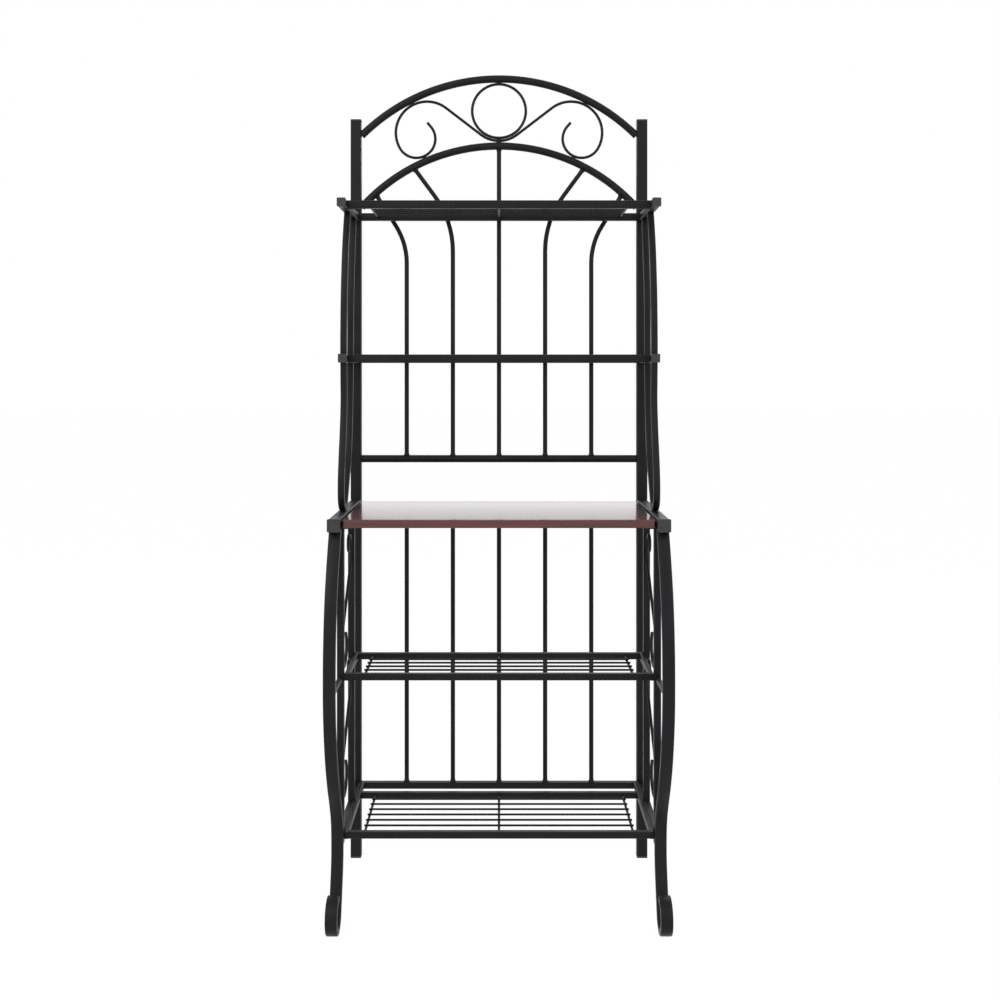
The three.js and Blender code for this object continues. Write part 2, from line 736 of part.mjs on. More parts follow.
// An upper shelf: two side rails with capped ends and two cross bars.
function makeUpperShelf(name, height, railFront) {
  const tubeSize = upperShelfTube;
  const outerX = sideX + tubeSize / 2;
  const railInnerX = sideX - tubeSize / 2;
  const barFront = railFront - upperFrontBarSetback;
  const barRear = barFront - tubeSize;
  const rearFront = weldGap + tubeSize;
  const heights = [height - tubeSize / 2, height + tubeSize / 2];
  const rails = [-1, 1].map((side) => box([side * railInnerX, side * outerX],
    [weldGap, railFront - weldGap], heights));
  const bars = [[weldGap, rearFront], [barRear, barFront]].map(
    (reach) => box([-sideX, sideX], reach, heights),
  );
  const frame = joinAll([...rails, ...bars]);
  const bore = tubeSize / 2 - shelfTubeWall;
  const spigot = bore - weldGap;
  const pockets = [-1, 1].map((side) => box([side * sideX - bore, side * sideX + bore],
    [railFront - spigotLength - cutOverrun, railFront + cutOverrun], [height - bore, height + bore]));
  addPiece(`${name}_shelf_frame`, cutAll(frame, pockets), blackSteel);
  makeGrid(name, height, barRear, rearFront, upperGridCount);
  const capSize = tubeSize + 2 * shelfCapOverhang;
  for (const [side, label] of [[-1, 'left'], [1, 'right']]) {
    addPiece(`${name}_shelf_cap_${label}`, joinAll([
      frontToBack(tubeSection(capSize, barCorner), side * sideX, height, railFront, railFront + shelfCapPlate),
      frontToBack(tubeSection(spigot * 2, capEdge), side * sideX, height,
        railFront - spigotLength, railFront + shelfCapPlate / 2),
    ]), capPlastic);
  }
}

// A lower shelf: front and rear cross bars between two thin side bars.
function makeLowerShelf(name, bottom, rearBarFront, tailReach, count) {
  const outerX = innerX - weldGap;
  const inner = outerX - lowerShelfSideBar;
  const barRear = frontPostFront - lowerShelfBar;
  const rearBack = rearBarFront - lowerShelfBar;
  const heights = [bottom, bottom + lowerShelfBar];
  const middle = outerX - lowerShelfSideBar / 2;
  const sides = [-1, 1].map((side) => box([side * inner, side * outerX],
    [Math.min(tailReach, rearBack), frontPostFront], heights));
  const bars = [[rearBack, rearBarFront], [barRear, frontPostFront]].map(
    (reach) => box([-middle, middle], reach, heights),
  );
  addPiece(`${name}_shelf_frame`, joinAll([...sides, ...bars]), blackSteel);
  makeGrid(name, bottom + lowerShelfBar / 2, barRear, rearBarFront, count);
}

// A wire grid: three rods from front to back with long wires on top of them.
function makeGrid(name, height, frontLimit, rearLimit, count) {
  const wireHeight = height + gridRod / 2 + gridWire / 2 - gridWireBite;
  const parts = [-1, 0, 1].map((i) => rod(
    point(i * gridRodOffset, rearLimit + weldGap, height),
    point(i * gridRodOffset, frontLimit - weldGap, height), gridRod, gridSides,
  ));
  for (let i = 1; i <= count; i += 1) {
    const reach = frontLimit - i * wireSpacing;
    const half = gridRodOffset + gridWireOverhang;
    parts.push(rod(point(-half, reach, wireHeight), point(half, reach, wireHeight), gridWire, gridSides));
  }
  addPiece(`${name}_shelf_grid`, joinAll(parts), blackWire);
}

// The laminated worktop board, with a small radius along every long edge.
function makeBoard() {
  const section = roundedRectangle(boardDepth, boardThickness, boardEdgeRadius);
  const geometry = new THREE.ExtrudeGeometry(section, {
    depth: boardWidth, bevelEnabled: false, curveSegments: 3,
  });
  geometry.rotateX(Math.PI / 2);
  geometry.rotateZ(Math.PI / 2);
  geometry.translate(-boardWidth / 2, atReach(boardRear + boardDepth / 2), boardTop - boardThickness / 2);
  addPiece('worktop_board', geometry, cherryLaminate);
}

makeUprights();
makeArches();
makeRing();
makeCrestScroll();
makeUpperSpindles();
makeBackRails();
for (const [side, label] of [[-1, 'left'], [1, 'right']]) {
  makeFrontLeg(side, label);
  makeSideFrame(side, label);
  makeArm(side, label);
  makeBraces(side, label);
}
makeUpperShelf('top', topShelfHeight, topShelfFront);
makeUpperShelf('second', secondShelfHeight, secondShelfFront);
makeLowerShelf('middle', middleShelfBottom, rearPostFront, rearPostFront - lowerShelfBar, middleGridCount);
makeLowerShelf('bottom', bottomShelfBottom, bottomShelfRearBarFront, backReach + backBar / 2 + weldGap,
  bottomGridCount);
makeBoard();

export default rack;
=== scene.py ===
"""Bakers rack in Blender: smooth tubes, bent wires, a laminated board and a plain studio."""

import logging
from collections.abc import Sequence
from dataclasses import dataclass
from enum import Enum
from typing import TypeAlias

import bmesh
import bpy
import numpy as np
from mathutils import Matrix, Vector


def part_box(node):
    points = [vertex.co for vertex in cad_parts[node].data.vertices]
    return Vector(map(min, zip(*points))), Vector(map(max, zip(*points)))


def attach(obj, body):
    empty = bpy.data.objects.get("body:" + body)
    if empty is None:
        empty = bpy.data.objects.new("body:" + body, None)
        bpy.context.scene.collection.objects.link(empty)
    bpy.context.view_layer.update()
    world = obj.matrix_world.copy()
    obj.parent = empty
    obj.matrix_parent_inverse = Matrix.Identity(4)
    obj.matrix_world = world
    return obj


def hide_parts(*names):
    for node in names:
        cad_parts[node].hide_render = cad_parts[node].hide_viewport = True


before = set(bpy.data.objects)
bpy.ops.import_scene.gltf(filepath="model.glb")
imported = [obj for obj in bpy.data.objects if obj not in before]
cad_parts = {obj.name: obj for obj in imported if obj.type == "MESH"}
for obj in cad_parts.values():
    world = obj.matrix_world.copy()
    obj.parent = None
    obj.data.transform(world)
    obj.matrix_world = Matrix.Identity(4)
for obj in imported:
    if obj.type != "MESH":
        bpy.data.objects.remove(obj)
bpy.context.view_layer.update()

log = logging.getLogger("bakers_rack")

Colour: TypeAlias = tuple[float, float, float]
Span: TypeAlias = tuple[float, float]
Share: TypeAlias = tuple[float, float]
Place: TypeAlias = tuple[float, float, float]
Body: TypeAlias = tuple[np.ndarray, list[list[int]]]

MM = 0.001
# Reaches are measured in mm from the front faces of the uprights towards the viewer.
REACH_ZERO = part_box("lower_upright_left")[0].y / MM
ROUND_SIDES = 28
WIRE_SIDES = 20
ARC_STEP = 5.0
RUN_STEP = 12.0
SPAN_POINTS = 12
SHARP_DEGREES = 40.0
ACROSS_BACK = (0.0, 1.0, 0.0)
ACROSS_SIDE = (1.0, 0.0, 0.0)


class Slot(str, Enum):
    """Names of the material slots."""

    STEEL = "steel_black"
    WIRE = "wire_black"
    CAP = "cap_plastic"
    BOARD = "laminate"


class Side(Enum):
    """Left and right halves of the rack, with the sign of their X."""

    LEFT = -1
    RIGHT = 1

    @property
    def label(self) -> str:
        """The word that ends the names of this side's pieces."""
        return self.name.lower()


@dataclass(frozen=True)
class Sizes:
    """Sizes in mm that more than one sub-assembly uses.

    Fields:
        tube: Side of the square uprights and worktop arms.
        inner_x: X of the uprights' inner faces.
        side_x: X of the middle of uprights, arms, legs and braces.
        post_x: X of the middle of the side posts.
        arch_tube: Diameter of the arches and of the rail above the worktop.
        wire: Diameter of ring and scroll wires.
        spindle: Diameter of the spindles.
        arm_top: Height of the arms' top.
        arm_bottom: Height of the arms' underside.
        gap: Clearance at every welded face.
        second_shelf: Height of the middle of the second shelf's tubes.
        top_shelf: Height of the middle of the top shelf's tubes.
        shelf_tube: Side of the upper shelves' square tubes.
        lower_shelf_bar: Side of the lower shelves' cross bars.
        front_post_back: Reach of the front posts' rear faces.
        rear_post_front: Reach of the rear posts' front faces.
    """

    tube: float = 22.5
    inner_x: float = 295.0
    side_x: float = 306.25
    post_x: float = 301.75
    arch_tube: float = 16.0
    wire: float = 6.0
    spindle: float = 9.5
    arm_top: float = 765.75
    arm_bottom: float = 743.25
    gap: float = 0.3
    second_shelf: float = 1066.0
    top_shelf: float = 1369.0
    shelf_tube: float = 15.9
    lower_shelf_bar: float = 13.0
    front_post_back: float = 271.5
    rear_post_front: float = 117.0


SIZES = Sizes()


class Finish:
    """A node material with helpers that add its nodes and link them."""

    def __init__(self, name: str) -> None:
        """Makes the material with one Principled shader and an Object coordinate.

        Args:
            name: Material name.
        """
        self.material = bpy.data.materials.new(name)
        self.material.use_nodes = True
        self.nodes = self.material.node_tree.nodes
        self.links = self.material.node_tree.links
        self.shader = self.nodes["Principled BSDF"]
        self.place = self.nodes.new("ShaderNodeTexCoord").outputs["Object"]

    def set(self, **values: float) -> None:
        """Sets plain values on the shader's own sockets.

        Args:
            values: Socket names, with underscores for spaces, and their values.
        """
        for name, value in values.items():
            self.shader.inputs[name.replace("_", " ")].default_value = value

    def feed(self, socket: str, source: bpy.types.NodeSocket) -> None:
        """Links a node's output to one of the shader's sockets."""
        self.links.new(source, self.shader.inputs[socket])

    def noise(self, place: bpy.types.NodeSocket, scale: float, detail: float,
              rough: float = 0.5) -> bpy.types.NodeSocket:
        """Adds a noise texture.

        Args:
            place: Coordinate that it reads.
            scale: Number of features per metre.
            detail: Number of finer layers.
            rough: Weight of the finer layers.

        Returns:
            The noise's value.
        """
        texture = self.nodes.new("ShaderNodeTexNoise")
        texture.inputs["Scale"].default_value = scale
        texture.inputs["Detail"].default_value = detail
        texture.inputs["Roughness"].default_value = rough
        self.links.new(place, texture.inputs["Vector"])
        return texture.outputs["Fac"]

    def stretched(self, scale: Place) -> bpy.types.NodeSocket:
        """Scales the Object coordinate unevenly, so a noise on it is drawn out.

        Args:
            scale: Factors along X, Y and Z.

        Returns:
            The new coordinate.
        """
        mapping = self.nodes.new("ShaderNodeMapping")
        mapping.inputs["Scale"].default_value = scale
        self.links.new(self.place, mapping.inputs["Vector"])
        return mapping.outputs["Vector"]

    def colours(self, value: bpy.types.NodeSocket,
                stops: Sequence[tuple[float, Colour]]) -> bpy.types.NodeSocket:
        """Turns a value into a colour.

        Args:
            value: Value from 0 to 1.
            stops: Positions and linear colours.

        Returns:
            The colour.
        """
        ramp = self.nodes.new("ShaderNodeValToRGB")
        elements = ramp.color_ramp.elements
        while len(elements) < len(stops):
            elements.new(0.5)
        for element, (position, colour) in zip(elements, stops):
            element.position = position
            element.color = (*colour, 1.0)
        self.links.new(value, ramp.inputs["Fac"])
        return ramp.outputs["Color"]

    def spread(self, value: bpy.types.NodeSocket, span: Span,
               middle: Span = (0.3, 0.7)) -> bpy.types.NodeSocket:
        """Maps the middle of a noise's range onto a span.

        Args:
            value: The noise's value.
            span: Values at both ends of the result.
            middle: The part of the noise's range that is used.

        Returns:
            The mapped value.
        """
        mapper = self.nodes.new("ShaderNodeMapRange")
        for socket, number in zip(("From Min", "From Max", "To Min", "To Max"), (*middle, *span)):
            mapper.inputs[socket].default_value = number
        self.links.new(value, mapper.inputs["Value"])
        return mapper.outputs["Result"]

    def bump(self, height: bpy.types.NodeSocket, strength: float, depth: float) -> None:
        """Feeds a height to the shader as a surface normal.

        Args:
            height: Height from 0 to 1.
            strength: Strength of the relief.
            depth: Depth of the relief, in metres.
        """
        node = self.nodes.new("ShaderNodeBump")
        node.inputs["Strength"].default_value = strength
        node.inputs["Distance"].default_value = depth
        self.links.new(height, node.inputs["Height"])
        self.feed("Normal", node.outputs["Normal"])


@dataclass(frozen=True)
class PowderCoat:
    """Satin black powder coat: a fine pebbled skin with slightly uneven gloss.

    Fields:
        name: Material name.
        dark: Linear colour of the darker patches.
        light: Linear colour of the lighter patches.
        gloss: Lowest and highest roughness.
        specular: Level of the plain reflection.
        patches: Scale and detail of the patches.
        skin: Scale and detail of the pebbled skin.
        relief: Strength and depth of the skin.
    """

    name: str
    dark: Colour
    light: Colour
    gloss: Span
    specular: float = 0.15
    patches: Span = (14.0, 3.0)
    skin: Span = (900.0, 2.0)
    relief: Span = (0.16, 0.0003)

    def build(self) -> bpy.types.Material:
        """Makes the material from two noises: one for gloss and tone, one for the skin.

        Returns:
            The finished material.
        """
        finish = Finish(self.name)
        finish.set(Specular_IOR_Level=self.specular)
        patches = finish.noise(finish.place, *self.patches)
        finish.feed("Base Color", finish.colours(patches, ((0.3, self.dark), (0.7, self.light))))
        finish.feed("Roughness", finish.spread(patches, self.gloss))
        finish.bump(finish.noise(finish.place, *self.skin), *self.relief)
        return finish.material


@dataclass(frozen=True)
class CherryLaminate:
    """Glossy cherry laminate: long grain streaks along X under a clear top layer.

    Fields:
        name: Material name.
        streaks: Positions and linear colours of the grain's ramp.
        specular: Level of the plain reflection under the top layer.
        coat_roughness: Roughness of the top layer.
        coat_ior: Refraction of the top layer.
        grain_stretch: Factors that draw the grain out along X.
        grain: Scale, detail and weight of the finer layers of the grain.
        pore_stretch: Factors that draw the pores out along X.
        pores: Scale and detail of the pores.
        gloss: Lowest and highest roughness.
        relief: Strength and depth of the pores.
    """

    name: str = "cherry_laminate"
    streaks: tuple[tuple[float, Colour], ...] = (
        (0.25, (0.034, 0.006, 0.006)),
        (0.45, (0.078, 0.015, 0.015)),
        (0.62, (0.115, 0.024, 0.022)),
        (0.8, (0.058, 0.011, 0.010)),
    )
    specular: float = 0.1
    coat_roughness: float = 0.07
    coat_ior: float = 1.5
    grain_stretch: Place = (1.6, 34.0, 34.0)
    grain: Place = (1.4, 8.0, 0.7)
    pore_stretch: Place = (12.0, 420.0, 420.0)
    pores: Span = (1.0, 3.0)
    gloss: Span = (0.22, 0.36)
    relief: Span = (0.08, 0.0002)

    def build(self) -> bpy.types.Material:
        """Makes the grain from a noise drawn out along X and a finer pore noise.

        Returns:
            The finished material.
        """
        finish = Finish(self.name)
        finish.set(Specular_IOR_Level=self.specular, Coat_Weight=1.0,
                   Coat_Roughness=self.coat_roughness, Coat_IOR=self.coat_ior)
        grain = finish.noise(finish.stretched(self.grain_stretch), *self.grain)
        finish.feed("Base Color", finish.colours(grain, self.streaks))
        pores = finish.noise(finish.stretched(self.pore_stretch), *self.pores)
        finish.feed("Roughness", finish.spread(pores, self.gloss))
        finish.bump(pores, *self.relief)
        return finish.material


@dataclass(frozen=True)
class CapPlastic:
    """Matt dark plastic with a moulded, speckled skin.

    Fields:
        name: Material name.
        dark: Linear colour between the speckles.
        light: Linear colour of the speckles.
        specular: Level of the plain reflection.
        speckle: Scale, detail and weight of the finer layers of the speckle.
        gloss: Lowest and highest roughness.
        relief: Strength and depth of the skin.
    """

    name: str = "cap_plastic"
    dark: Colour = (0.022, 0.023, 0.0215)
    light: Colour = (0.05, 0.0505, 0.048)
    specular: float = 0.35
    speckle: Place = (420.0, 4.0, 0.65)
    gloss: Span = (0.5, 0.72)
    relief: Span = (0.25, 0.0003)

    def build(self) -> bpy.types.Material:
        """Makes speckle, gloss and skin from one noise.

        Returns:
            The finished material.
        """
        finish = Finish(self.name)
        finish.set(Specular_IOR_Level=self.specular)
        speckle = finish.noise(finish.place, *self.speckle)
        finish.feed("Base Color", finish.colours(speckle, ((0.35, self.dark), (0.68, self.light))))
        finish.feed("Roughness", finish.spread(speckle, self.gloss))
        finish.bump(speckle, *self.relief)
        return finish.material


def at(x: np.ndarray | float, reach: np.ndarray | float, height: np.ndarray | float) -> np.ndarray:
    """Turns X, reach and height in mm into points of the shared frame.

    Each point is (X, front faces of the uprights minus reach, height), times a thousandth.

    Args:
        x: Distances to the right of the middle.
        reach: Distances in front of the uprights.
        height: Heights above the floor.

    Returns:
        Points in metres.
    """
    x, reach, height = np.broadcast_arrays(x, reach, height)
    return np.stack([x, REACH_ZERO - reach, height], axis=-1).astype(float) * MM


def in_back_plane(flat: np.ndarray) -> np.ndarray:
    """Places flat points (X, height) in the middle plane of the back panel."""
    return at(flat[:, 0], -SIZES.tube / 2, flat[:, 1])


def in_side_plane(flat: np.ndarray, x: float) -> np.ndarray:
    """Places flat points (reach, height) in the side plane at one X."""
    return at(x, flat[:, 0], flat[:, 1])


def round_section(diameter: float, sides: int = ROUND_SIDES) -> np.ndarray:
    """Draws a circle: half the diameter times the cosine and sine of even angles.

    Args:
        diameter: Diameter in mm.
        sides: Number of points.

    Returns:
        Points in mm.
    """
    angle = np.linspace(0, 2 * np.pi, sides, endpoint=False)
    return np.stack([np.cos(angle), np.sin(angle)], axis=1) * diameter / 2


def bar_section(width: float, thickness: float, corner: float, steps: int = 5) -> np.ndarray:
    """Draws a rectangle whose four corners are quarter circles.

    Each point is a corner's centre plus the corner radius times a cosine and a sine.

    Args:
        width: Size across the path, in mm.
        thickness: The other size, in mm.
        corner: Radius of the corners, in mm.
        steps: Number of points on each corner.

    Returns:
        Points in mm.
    """
    half = np.array([width / 2 - corner, thickness / 2 - corner])
    centres = np.array([[1, -1], [1, 1], [-1, 1], [-1, -1]]) * half
    quarter = np.linspace(0, np.pi / 2, steps)
    angle = (np.arange(-1, 3) * np.pi / 2)[:, None] + quarter[None, :]
    arcs = np.stack([np.cos(angle), np.sin(angle)], axis=2) * corner
    return (centres[:, None, :] + arcs).reshape(-1, 2)


def grid_faces(rows: int, count: int, closed: bool = False) -> list[list[int]]:
    """Joins a grid of points with quads; point (i, j) has the number i times count plus j.

    Args:
        rows: Number of rows.
        count: Number of points in a row, which always closes on itself.
        closed: Whether the last row joins the first one.

    Returns:
        Faces as point numbers.
    """
    i, j = np.meshgrid(np.arange(rows if closed else rows - 1), np.arange(count), indexing="ij")
    here, beyond = i * count, (i + 1) % rows * count
    after = (j + 1) % count
    return np.stack([here + j, here + after, beyond + after, beyond + j],
                    axis=-1).reshape(-1, 4).tolist()


def end_faces(rows: int, count: int) -> list[list[int]]:
    """Closes the first and the last row of a grid with one face each."""
    return [list(range(count))[::-1], list(range((rows - 1) * count, rows * count))]


def sweep(path: np.ndarray, across: Place, section: np.ndarray,
          scale: np.ndarray | None = None) -> Body:
    """Carries a section along a path that lies in one plane.

    Point (i, j) is path i plus section j's first number across the plane and its second
    number along the cross product of the path's direction and that line.

    Args:
        path: Points in metres.
        across: Unit vector square to the path's plane.
        section: Closed outline in mm.
        scale: Factor on the section at each point of the path.

    Returns:
        Points and faces of a closed body.
    """
    run = np.gradient(path, axis=0)
    run /= np.linalg.norm(run, axis=1, keepdims=True)
    side = np.array(across)
    out = np.cross(run, side)
    factor = np.ones(len(path)) if scale is None else scale
    ring = section * MM
    offset = ring[None, :, :1] * side[None, None, :] + ring[None, :, 1:] * out[:, None, :]
    points = (path[:, None, :] + factor[:, None, None] * offset).reshape(-1, 3)
    rows, count = len(path), len(section)
    return points, grid_faces(rows, count) + end_faces(rows, count)


def blob(centre: np.ndarray, radii: Place, steps: int = 12, pole: float = 0.05) -> Body:
    """Makes a stretched ball: the centre plus the radii times a unit sphere's points.

    Args:
        centre: Middle, in metres.
        radii: Half sizes along X, Y and Z, in mm.
        steps: Number of rows from pole to pole.
        pole: Angle between a pole and the first row, in radians.

    Returns:
        Points and faces of a closed body.
    """
    count = 2 * steps
    tall = np.linspace(pole, np.pi - pole, steps)[:, None]
    turn = np.linspace(0, 2 * np.pi, count, endpoint=False)[None, :]
    unit = np.stack([np.sin(tall) * np.cos(turn), np.sin(tall) * np.sin(turn),
                     np.cos(tall) * np.ones_like(turn)], axis=-1).reshape(-1, 3)
    points = centre + unit * np.array(radii) * MM
    return points, grid_faces(steps, count) + end_faces(steps, count)


def bend(start: Sequence[float], heading: float, moves: Sequence[Span]) -> np.ndarray:
    """Bends a wire in a plane from straight runs and arcs.

    A run adds its length times the cosine and sine of the heading. An arc turns round a
    centre that lies its radius to the left or right of the wire.

    Args:
        start: First point, in mm.
        heading: First direction, in degrees.
        moves: Pairs of (length, 0) for a run, or (radius, turn in degrees) for an arc.

    Returns:
        Points in mm.
    """
    here, angle = np.array(start, float), heading
    points = [here[None, :]]
    for size, turn in moves:
        first = np.radians(angle)
        if turn == 0:
            here = here + size * np.array([np.cos(first), np.sin(first)])
            pieces = max(2, int(size // RUN_STEP))
            points.append(np.linspace(points[-1][-1], here, pieces + 1)[1:])
            continue
        side = np.sign(turn)
        centre = here + side * size * np.array([-np.sin(first), np.cos(first)])
        pieces = int(np.ceil(abs(turn) / ARC_STEP))
        angles = np.radians(angle + np.linspace(0, turn, pieces + 1)[1:])
        arc = centre + side * size * np.stack([np.sin(angles), -np.cos(angles)], axis=1)
        points.append(arc)
        here, angle = arc[-1], angle + turn
    return np.concatenate(points)


def smooth_curve(points: np.ndarray) -> np.ndarray:
    """Draws a centripetal Catmull-Rom curve through points.

    Each span is a cubic whose knots are the square roots of the point distances.

    Args:
        points: Control points.

    Returns:
        Points on the curve.
    """
    ends = np.vstack([2 * points[0] - points[1], points, 2 * points[-1] - points[-2]])
    gaps = np.linalg.norm(np.diff(ends, axis=0), axis=1) ** 0.5
    knots = np.concatenate([[0], np.cumsum(gaps)])
    pieces = []
    for i in range(1, len(ends) - 2):
        p0, p1, p2, p3 = ends[i - 1:i + 3]
        t0, t1, t2, t3 = knots[i - 1:i + 3]
        t = np.linspace(t1, t2, SPAN_POINTS, endpoint=False)[:, None]
        a1 = (t1 - t) / (t1 - t0) * p0 + (t - t0) / (t1 - t0) * p1
        a2 = (t2 - t) / (t2 - t1) * p1 + (t - t1) / (t2 - t1) * p2
        a3 = (t3 - t) / (t3 - t2) * p2 + (t - t2) / (t3 - t2) * p3
        b1 = (t2 - t) / (t2 - t0) * a1 + (t - t0) / (t2 - t0) * a2
        b2 = (t3 - t) / (t3 - t1) * a2 + (t - t1) / (t3 - t1) * a3
        pieces.append((t2 - t) / (t2 - t1) * b1 + (t - t1) / (t2 - t1) * b2)
    return np.vstack([*pieces, points[-1:]])


def put(name: str, parts: Sequence[Body], material: bpy.types.Material, slot: Slot,
        *replaced: str) -> bpy.types.Object:
    """Makes one smooth object from closed bodies and lets it stand for CAD nodes.

    Args:
        name: Object name.
        parts: Points and faces of each body.
        material: Its finish.
        slot: Not used.
        replaced: CAD nodes that it stands for.

    Returns:
        The new object, riding on the frame.
    """
    points, faces, base = [], [], 0
    for part_points, part_faces in parts:
        points.append(part_points)
        faces += [[index + base for index in face] for face in part_faces]
        base += len(part_points)
    mesh = bpy.data.meshes.new(name)
    mesh.from_pydata(np.vstack(points).tolist(), [], faces)
    solid = bmesh.new()
    solid.from_mesh(mesh)
    bmesh.ops.recalc_face_normals(solid, faces=solid.faces)
    solid.to_mesh(mesh)
    solid.free()
    mesh.polygons.foreach_set("use_smooth", np.ones(len(mesh.polygons), bool))
    mesh.set_sharp_from_angle(angle=np.radians(SHARP_DEGREES))
    mesh.materials.append(material)
    piece = bpy.data.objects.new(name, mesh)
    bpy.context.scene.collection.objects.link(piece)
    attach(piece, "root")
    if replaced:
        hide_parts(*replaced)
    log.info("piece %s: %d faces", name, len(mesh.polygons))
    return piece


def carry_over(node: str, material: bpy.types.Material) -> None:
    """Gives a CAD node, whose corners are round already, its finish.

    Args:
        node: Name of the node.
        material: Its finish.
    """
    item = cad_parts[node]
    if not item.material_slots:
        item.data.materials.append(material)
    for slot in item.material_slots:
        slot.material = material
    log.info("node %s keeps its shape", node)


@dataclass(frozen=True)
class Arch:
    """A circular arch between the uprights.

    Fields:
        axis_height: Height of the tube's axis at the top, in mm.
        rise: Height of the top above the ends, in mm.
        points: Number of points along the arch.
    """

    axis_height: float
    rise: float
    points: int = 97

    @property
    def radius(self) -> float:
        """Radius of the arch's axis, from half the width and the rise."""
        return (SIZES.inner_x ** 2 + self.rise ** 2) / (2 * self.rise)

    @property
    def centre(self) -> float:
        """Height of the arch's centre."""
        return self.axis_height - self.radius

    def path(self) -> np.ndarray:
        """Works out the axis: the radius times the sine and cosine of even angles.

        Returns:
            Points in metres.
        """
        half = np.arcsin((SIZES.inner_x - SIZES.gap) / self.radius)
        angle = np.linspace(-half, half, self.points)
        return in_back_plane(np.stack([self.radius * np.sin(angle),
                                       self.centre + self.radius * np.cos(angle)], axis=1))


@dataclass(frozen=True)
class Knee:
    """The bend of a spindle: height in mm, lean in degrees and radius in mm."""

    height: float
    lean: float
    radius: float


@dataclass
class BackPanel:
    """Arches, ring, scroll wire, rail and spindles between the uprights.

    Fields:
        crest: The upper arch.
        inner: The lower arch.
        rail_height: Height of the rail above the worktop.
        rail_points: Number of points along that rail.
        ring_points: Number of points round the ring.
        leave: Direction in which the scroll leaves the ring, in degrees.
        loop_radius: Radius of the scroll's loops.
        loop_turn: Turn of the scroll's loops, in degrees.
        curl_turn: Turn of the curls that follow, in degrees.
        hook: Length of the straight ends.
        bead: Half sizes of a weld bead.
        spacing: Distance between spindles.
        knees: Bends of the spindles, from the middle outwards.
        bite: How far the spindles run into the tubes.
        flare: Factor on a spindle's thickness at its welded ends.
        flare_length: Length of those ends.
    """

    crest: Arch
    inner: Arch
    rail_height: float = 853.0
    rail_points: int = 9
    ring_points: int = 96
    leave: float = 37.4
    loop_radius: float = 67.0
    loop_turn: float = 157.4
    curl_turn: float = 191.0
    hook: float = 11.0
    bead: Place = (5.2, 2.8, 2.2)
    spacing: float = 99.0
    knees: tuple[Knee, ...] = (Knee(1364.0, 36.5, 200.0), Knee(1316.0, 32.4, 150.0))
    bite: float = 1.0
    flare: float = 1.45
    flare_length: float = 7.0

    @property
    def ring_radius(self) -> float:
        """Outer radius of the ring that fills the space between the arches."""
        room = self.crest.axis_height - self.inner.axis_height
        return (room - SIZES.arch_tube - SIZES.wire - 3 * SIZES.gap) / 2

    @property
    def ring_height(self) -> float:
        """Height of the ring's centre."""
        return self.crest.axis_height - SIZES.arch_tube / 2 - SIZES.gap - self.ring_radius

    def build(self, steel: bpy.types.Material, wire: bpy.types.Material) -> None:
        """Builds every piece of the panel.

        Args:
            steel: Finish of tubes and spindles.
            wire: Finish of the ring and the scroll.
        """
        for name, arch in (("crest_arch", self.crest), ("inner_arch", self.inner)):
            put(f"{name}_tube", [sweep(arch.path(), ACROSS_BACK, round_section(SIZES.arch_tube))],
                steel, Slot.STEEL, name)
        self.build_ring(wire)
        section = round_section(SIZES.wire, WIRE_SIDES)
        put("crest_scroll", [sweep(in_back_plane(self.scroll()), ACROSS_BACK, section)],
            wire, Slot.WIRE, "crest_scroll_wire")
        self.build_rail(steel)
        self.build_welds(steel)
        for index in range(-2, 3):
            self.build_upper_spindle(index, steel)
            self.build_lower_spindle(index, steel)

    def build_ring(self, wire: bpy.types.Material) -> None:
        """Makes the ring: a circle of wire carried round a circle.

        Args:
            wire: The finish.
        """
        turn = np.linspace(0, 2 * np.pi, self.ring_points, endpoint=False)[:, None]
        tube = np.linspace(0, 2 * np.pi, WIRE_SIDES, endpoint=False)[None, :]
        half = SIZES.wire / 2
        radius = self.ring_radius - half + half * np.cos(tube)
        reach = -SIZES.tube / 2 + half * np.sin(tube)
        points = at(radius * np.cos(turn), reach, self.ring_height + radius * np.sin(turn))
        faces = grid_faces(self.ring_points, WIRE_SIDES, closed=True)
        put("crest_ring_wire", [(points.reshape(-1, 3), faces)], wire, Slot.WIRE, "crest_ring")

    def scroll(self) -> np.ndarray:
        """Works out the scroll wire, whose loops just touch both arches.

        The run's length follows from the loop touching the crest arch, and the curl's
        radius from the curl touching the inner arch. Both are quadratic conditions on
        the distance from an arch's centre.

        Returns:
            Points (X, height) from the left hook to the right one.
        """
        half_wire = SIZES.wire / 2
        edge = SIZES.arch_tube / 2 + SIZES.gap + half_wire
        hug = self.ring_radius + SIZES.gap + half_wire
        leave = np.radians(self.leave)
        along = np.array([np.cos(leave), np.sin(leave)])
        square = np.array([np.sin(leave), -np.cos(leave)])
        base = [0, self.ring_height] + square * (hug + self.loop_radius)
        away = base - [0, self.crest.centre]
        half = away @ along
        clear = self.crest.radius - edge - self.loop_radius
        run = -half + np.sqrt(half ** 2 - away @ away + clear ** 2)
        change = np.radians(self.leave - self.loop_turn + 90)
        outward = np.array([np.cos(change), np.sin(change)])
        start = base + along * run + outward * self.loop_radius - [0, self.inner.centre]
        touch = self.inner.radius + edge
        curl = (start @ start - touch ** 2) / (2 * (touch + start @ outward))
        right = bend((0, self.ring_height - hug), 0, [
            (hug, self.leave), (run, 0), (self.loop_radius, -self.loop_turn),
            (curl, -self.curl_turn), (self.hook, 0)])
        return np.vstack([(right[::-1] * [-1, 1])[:-1], right])

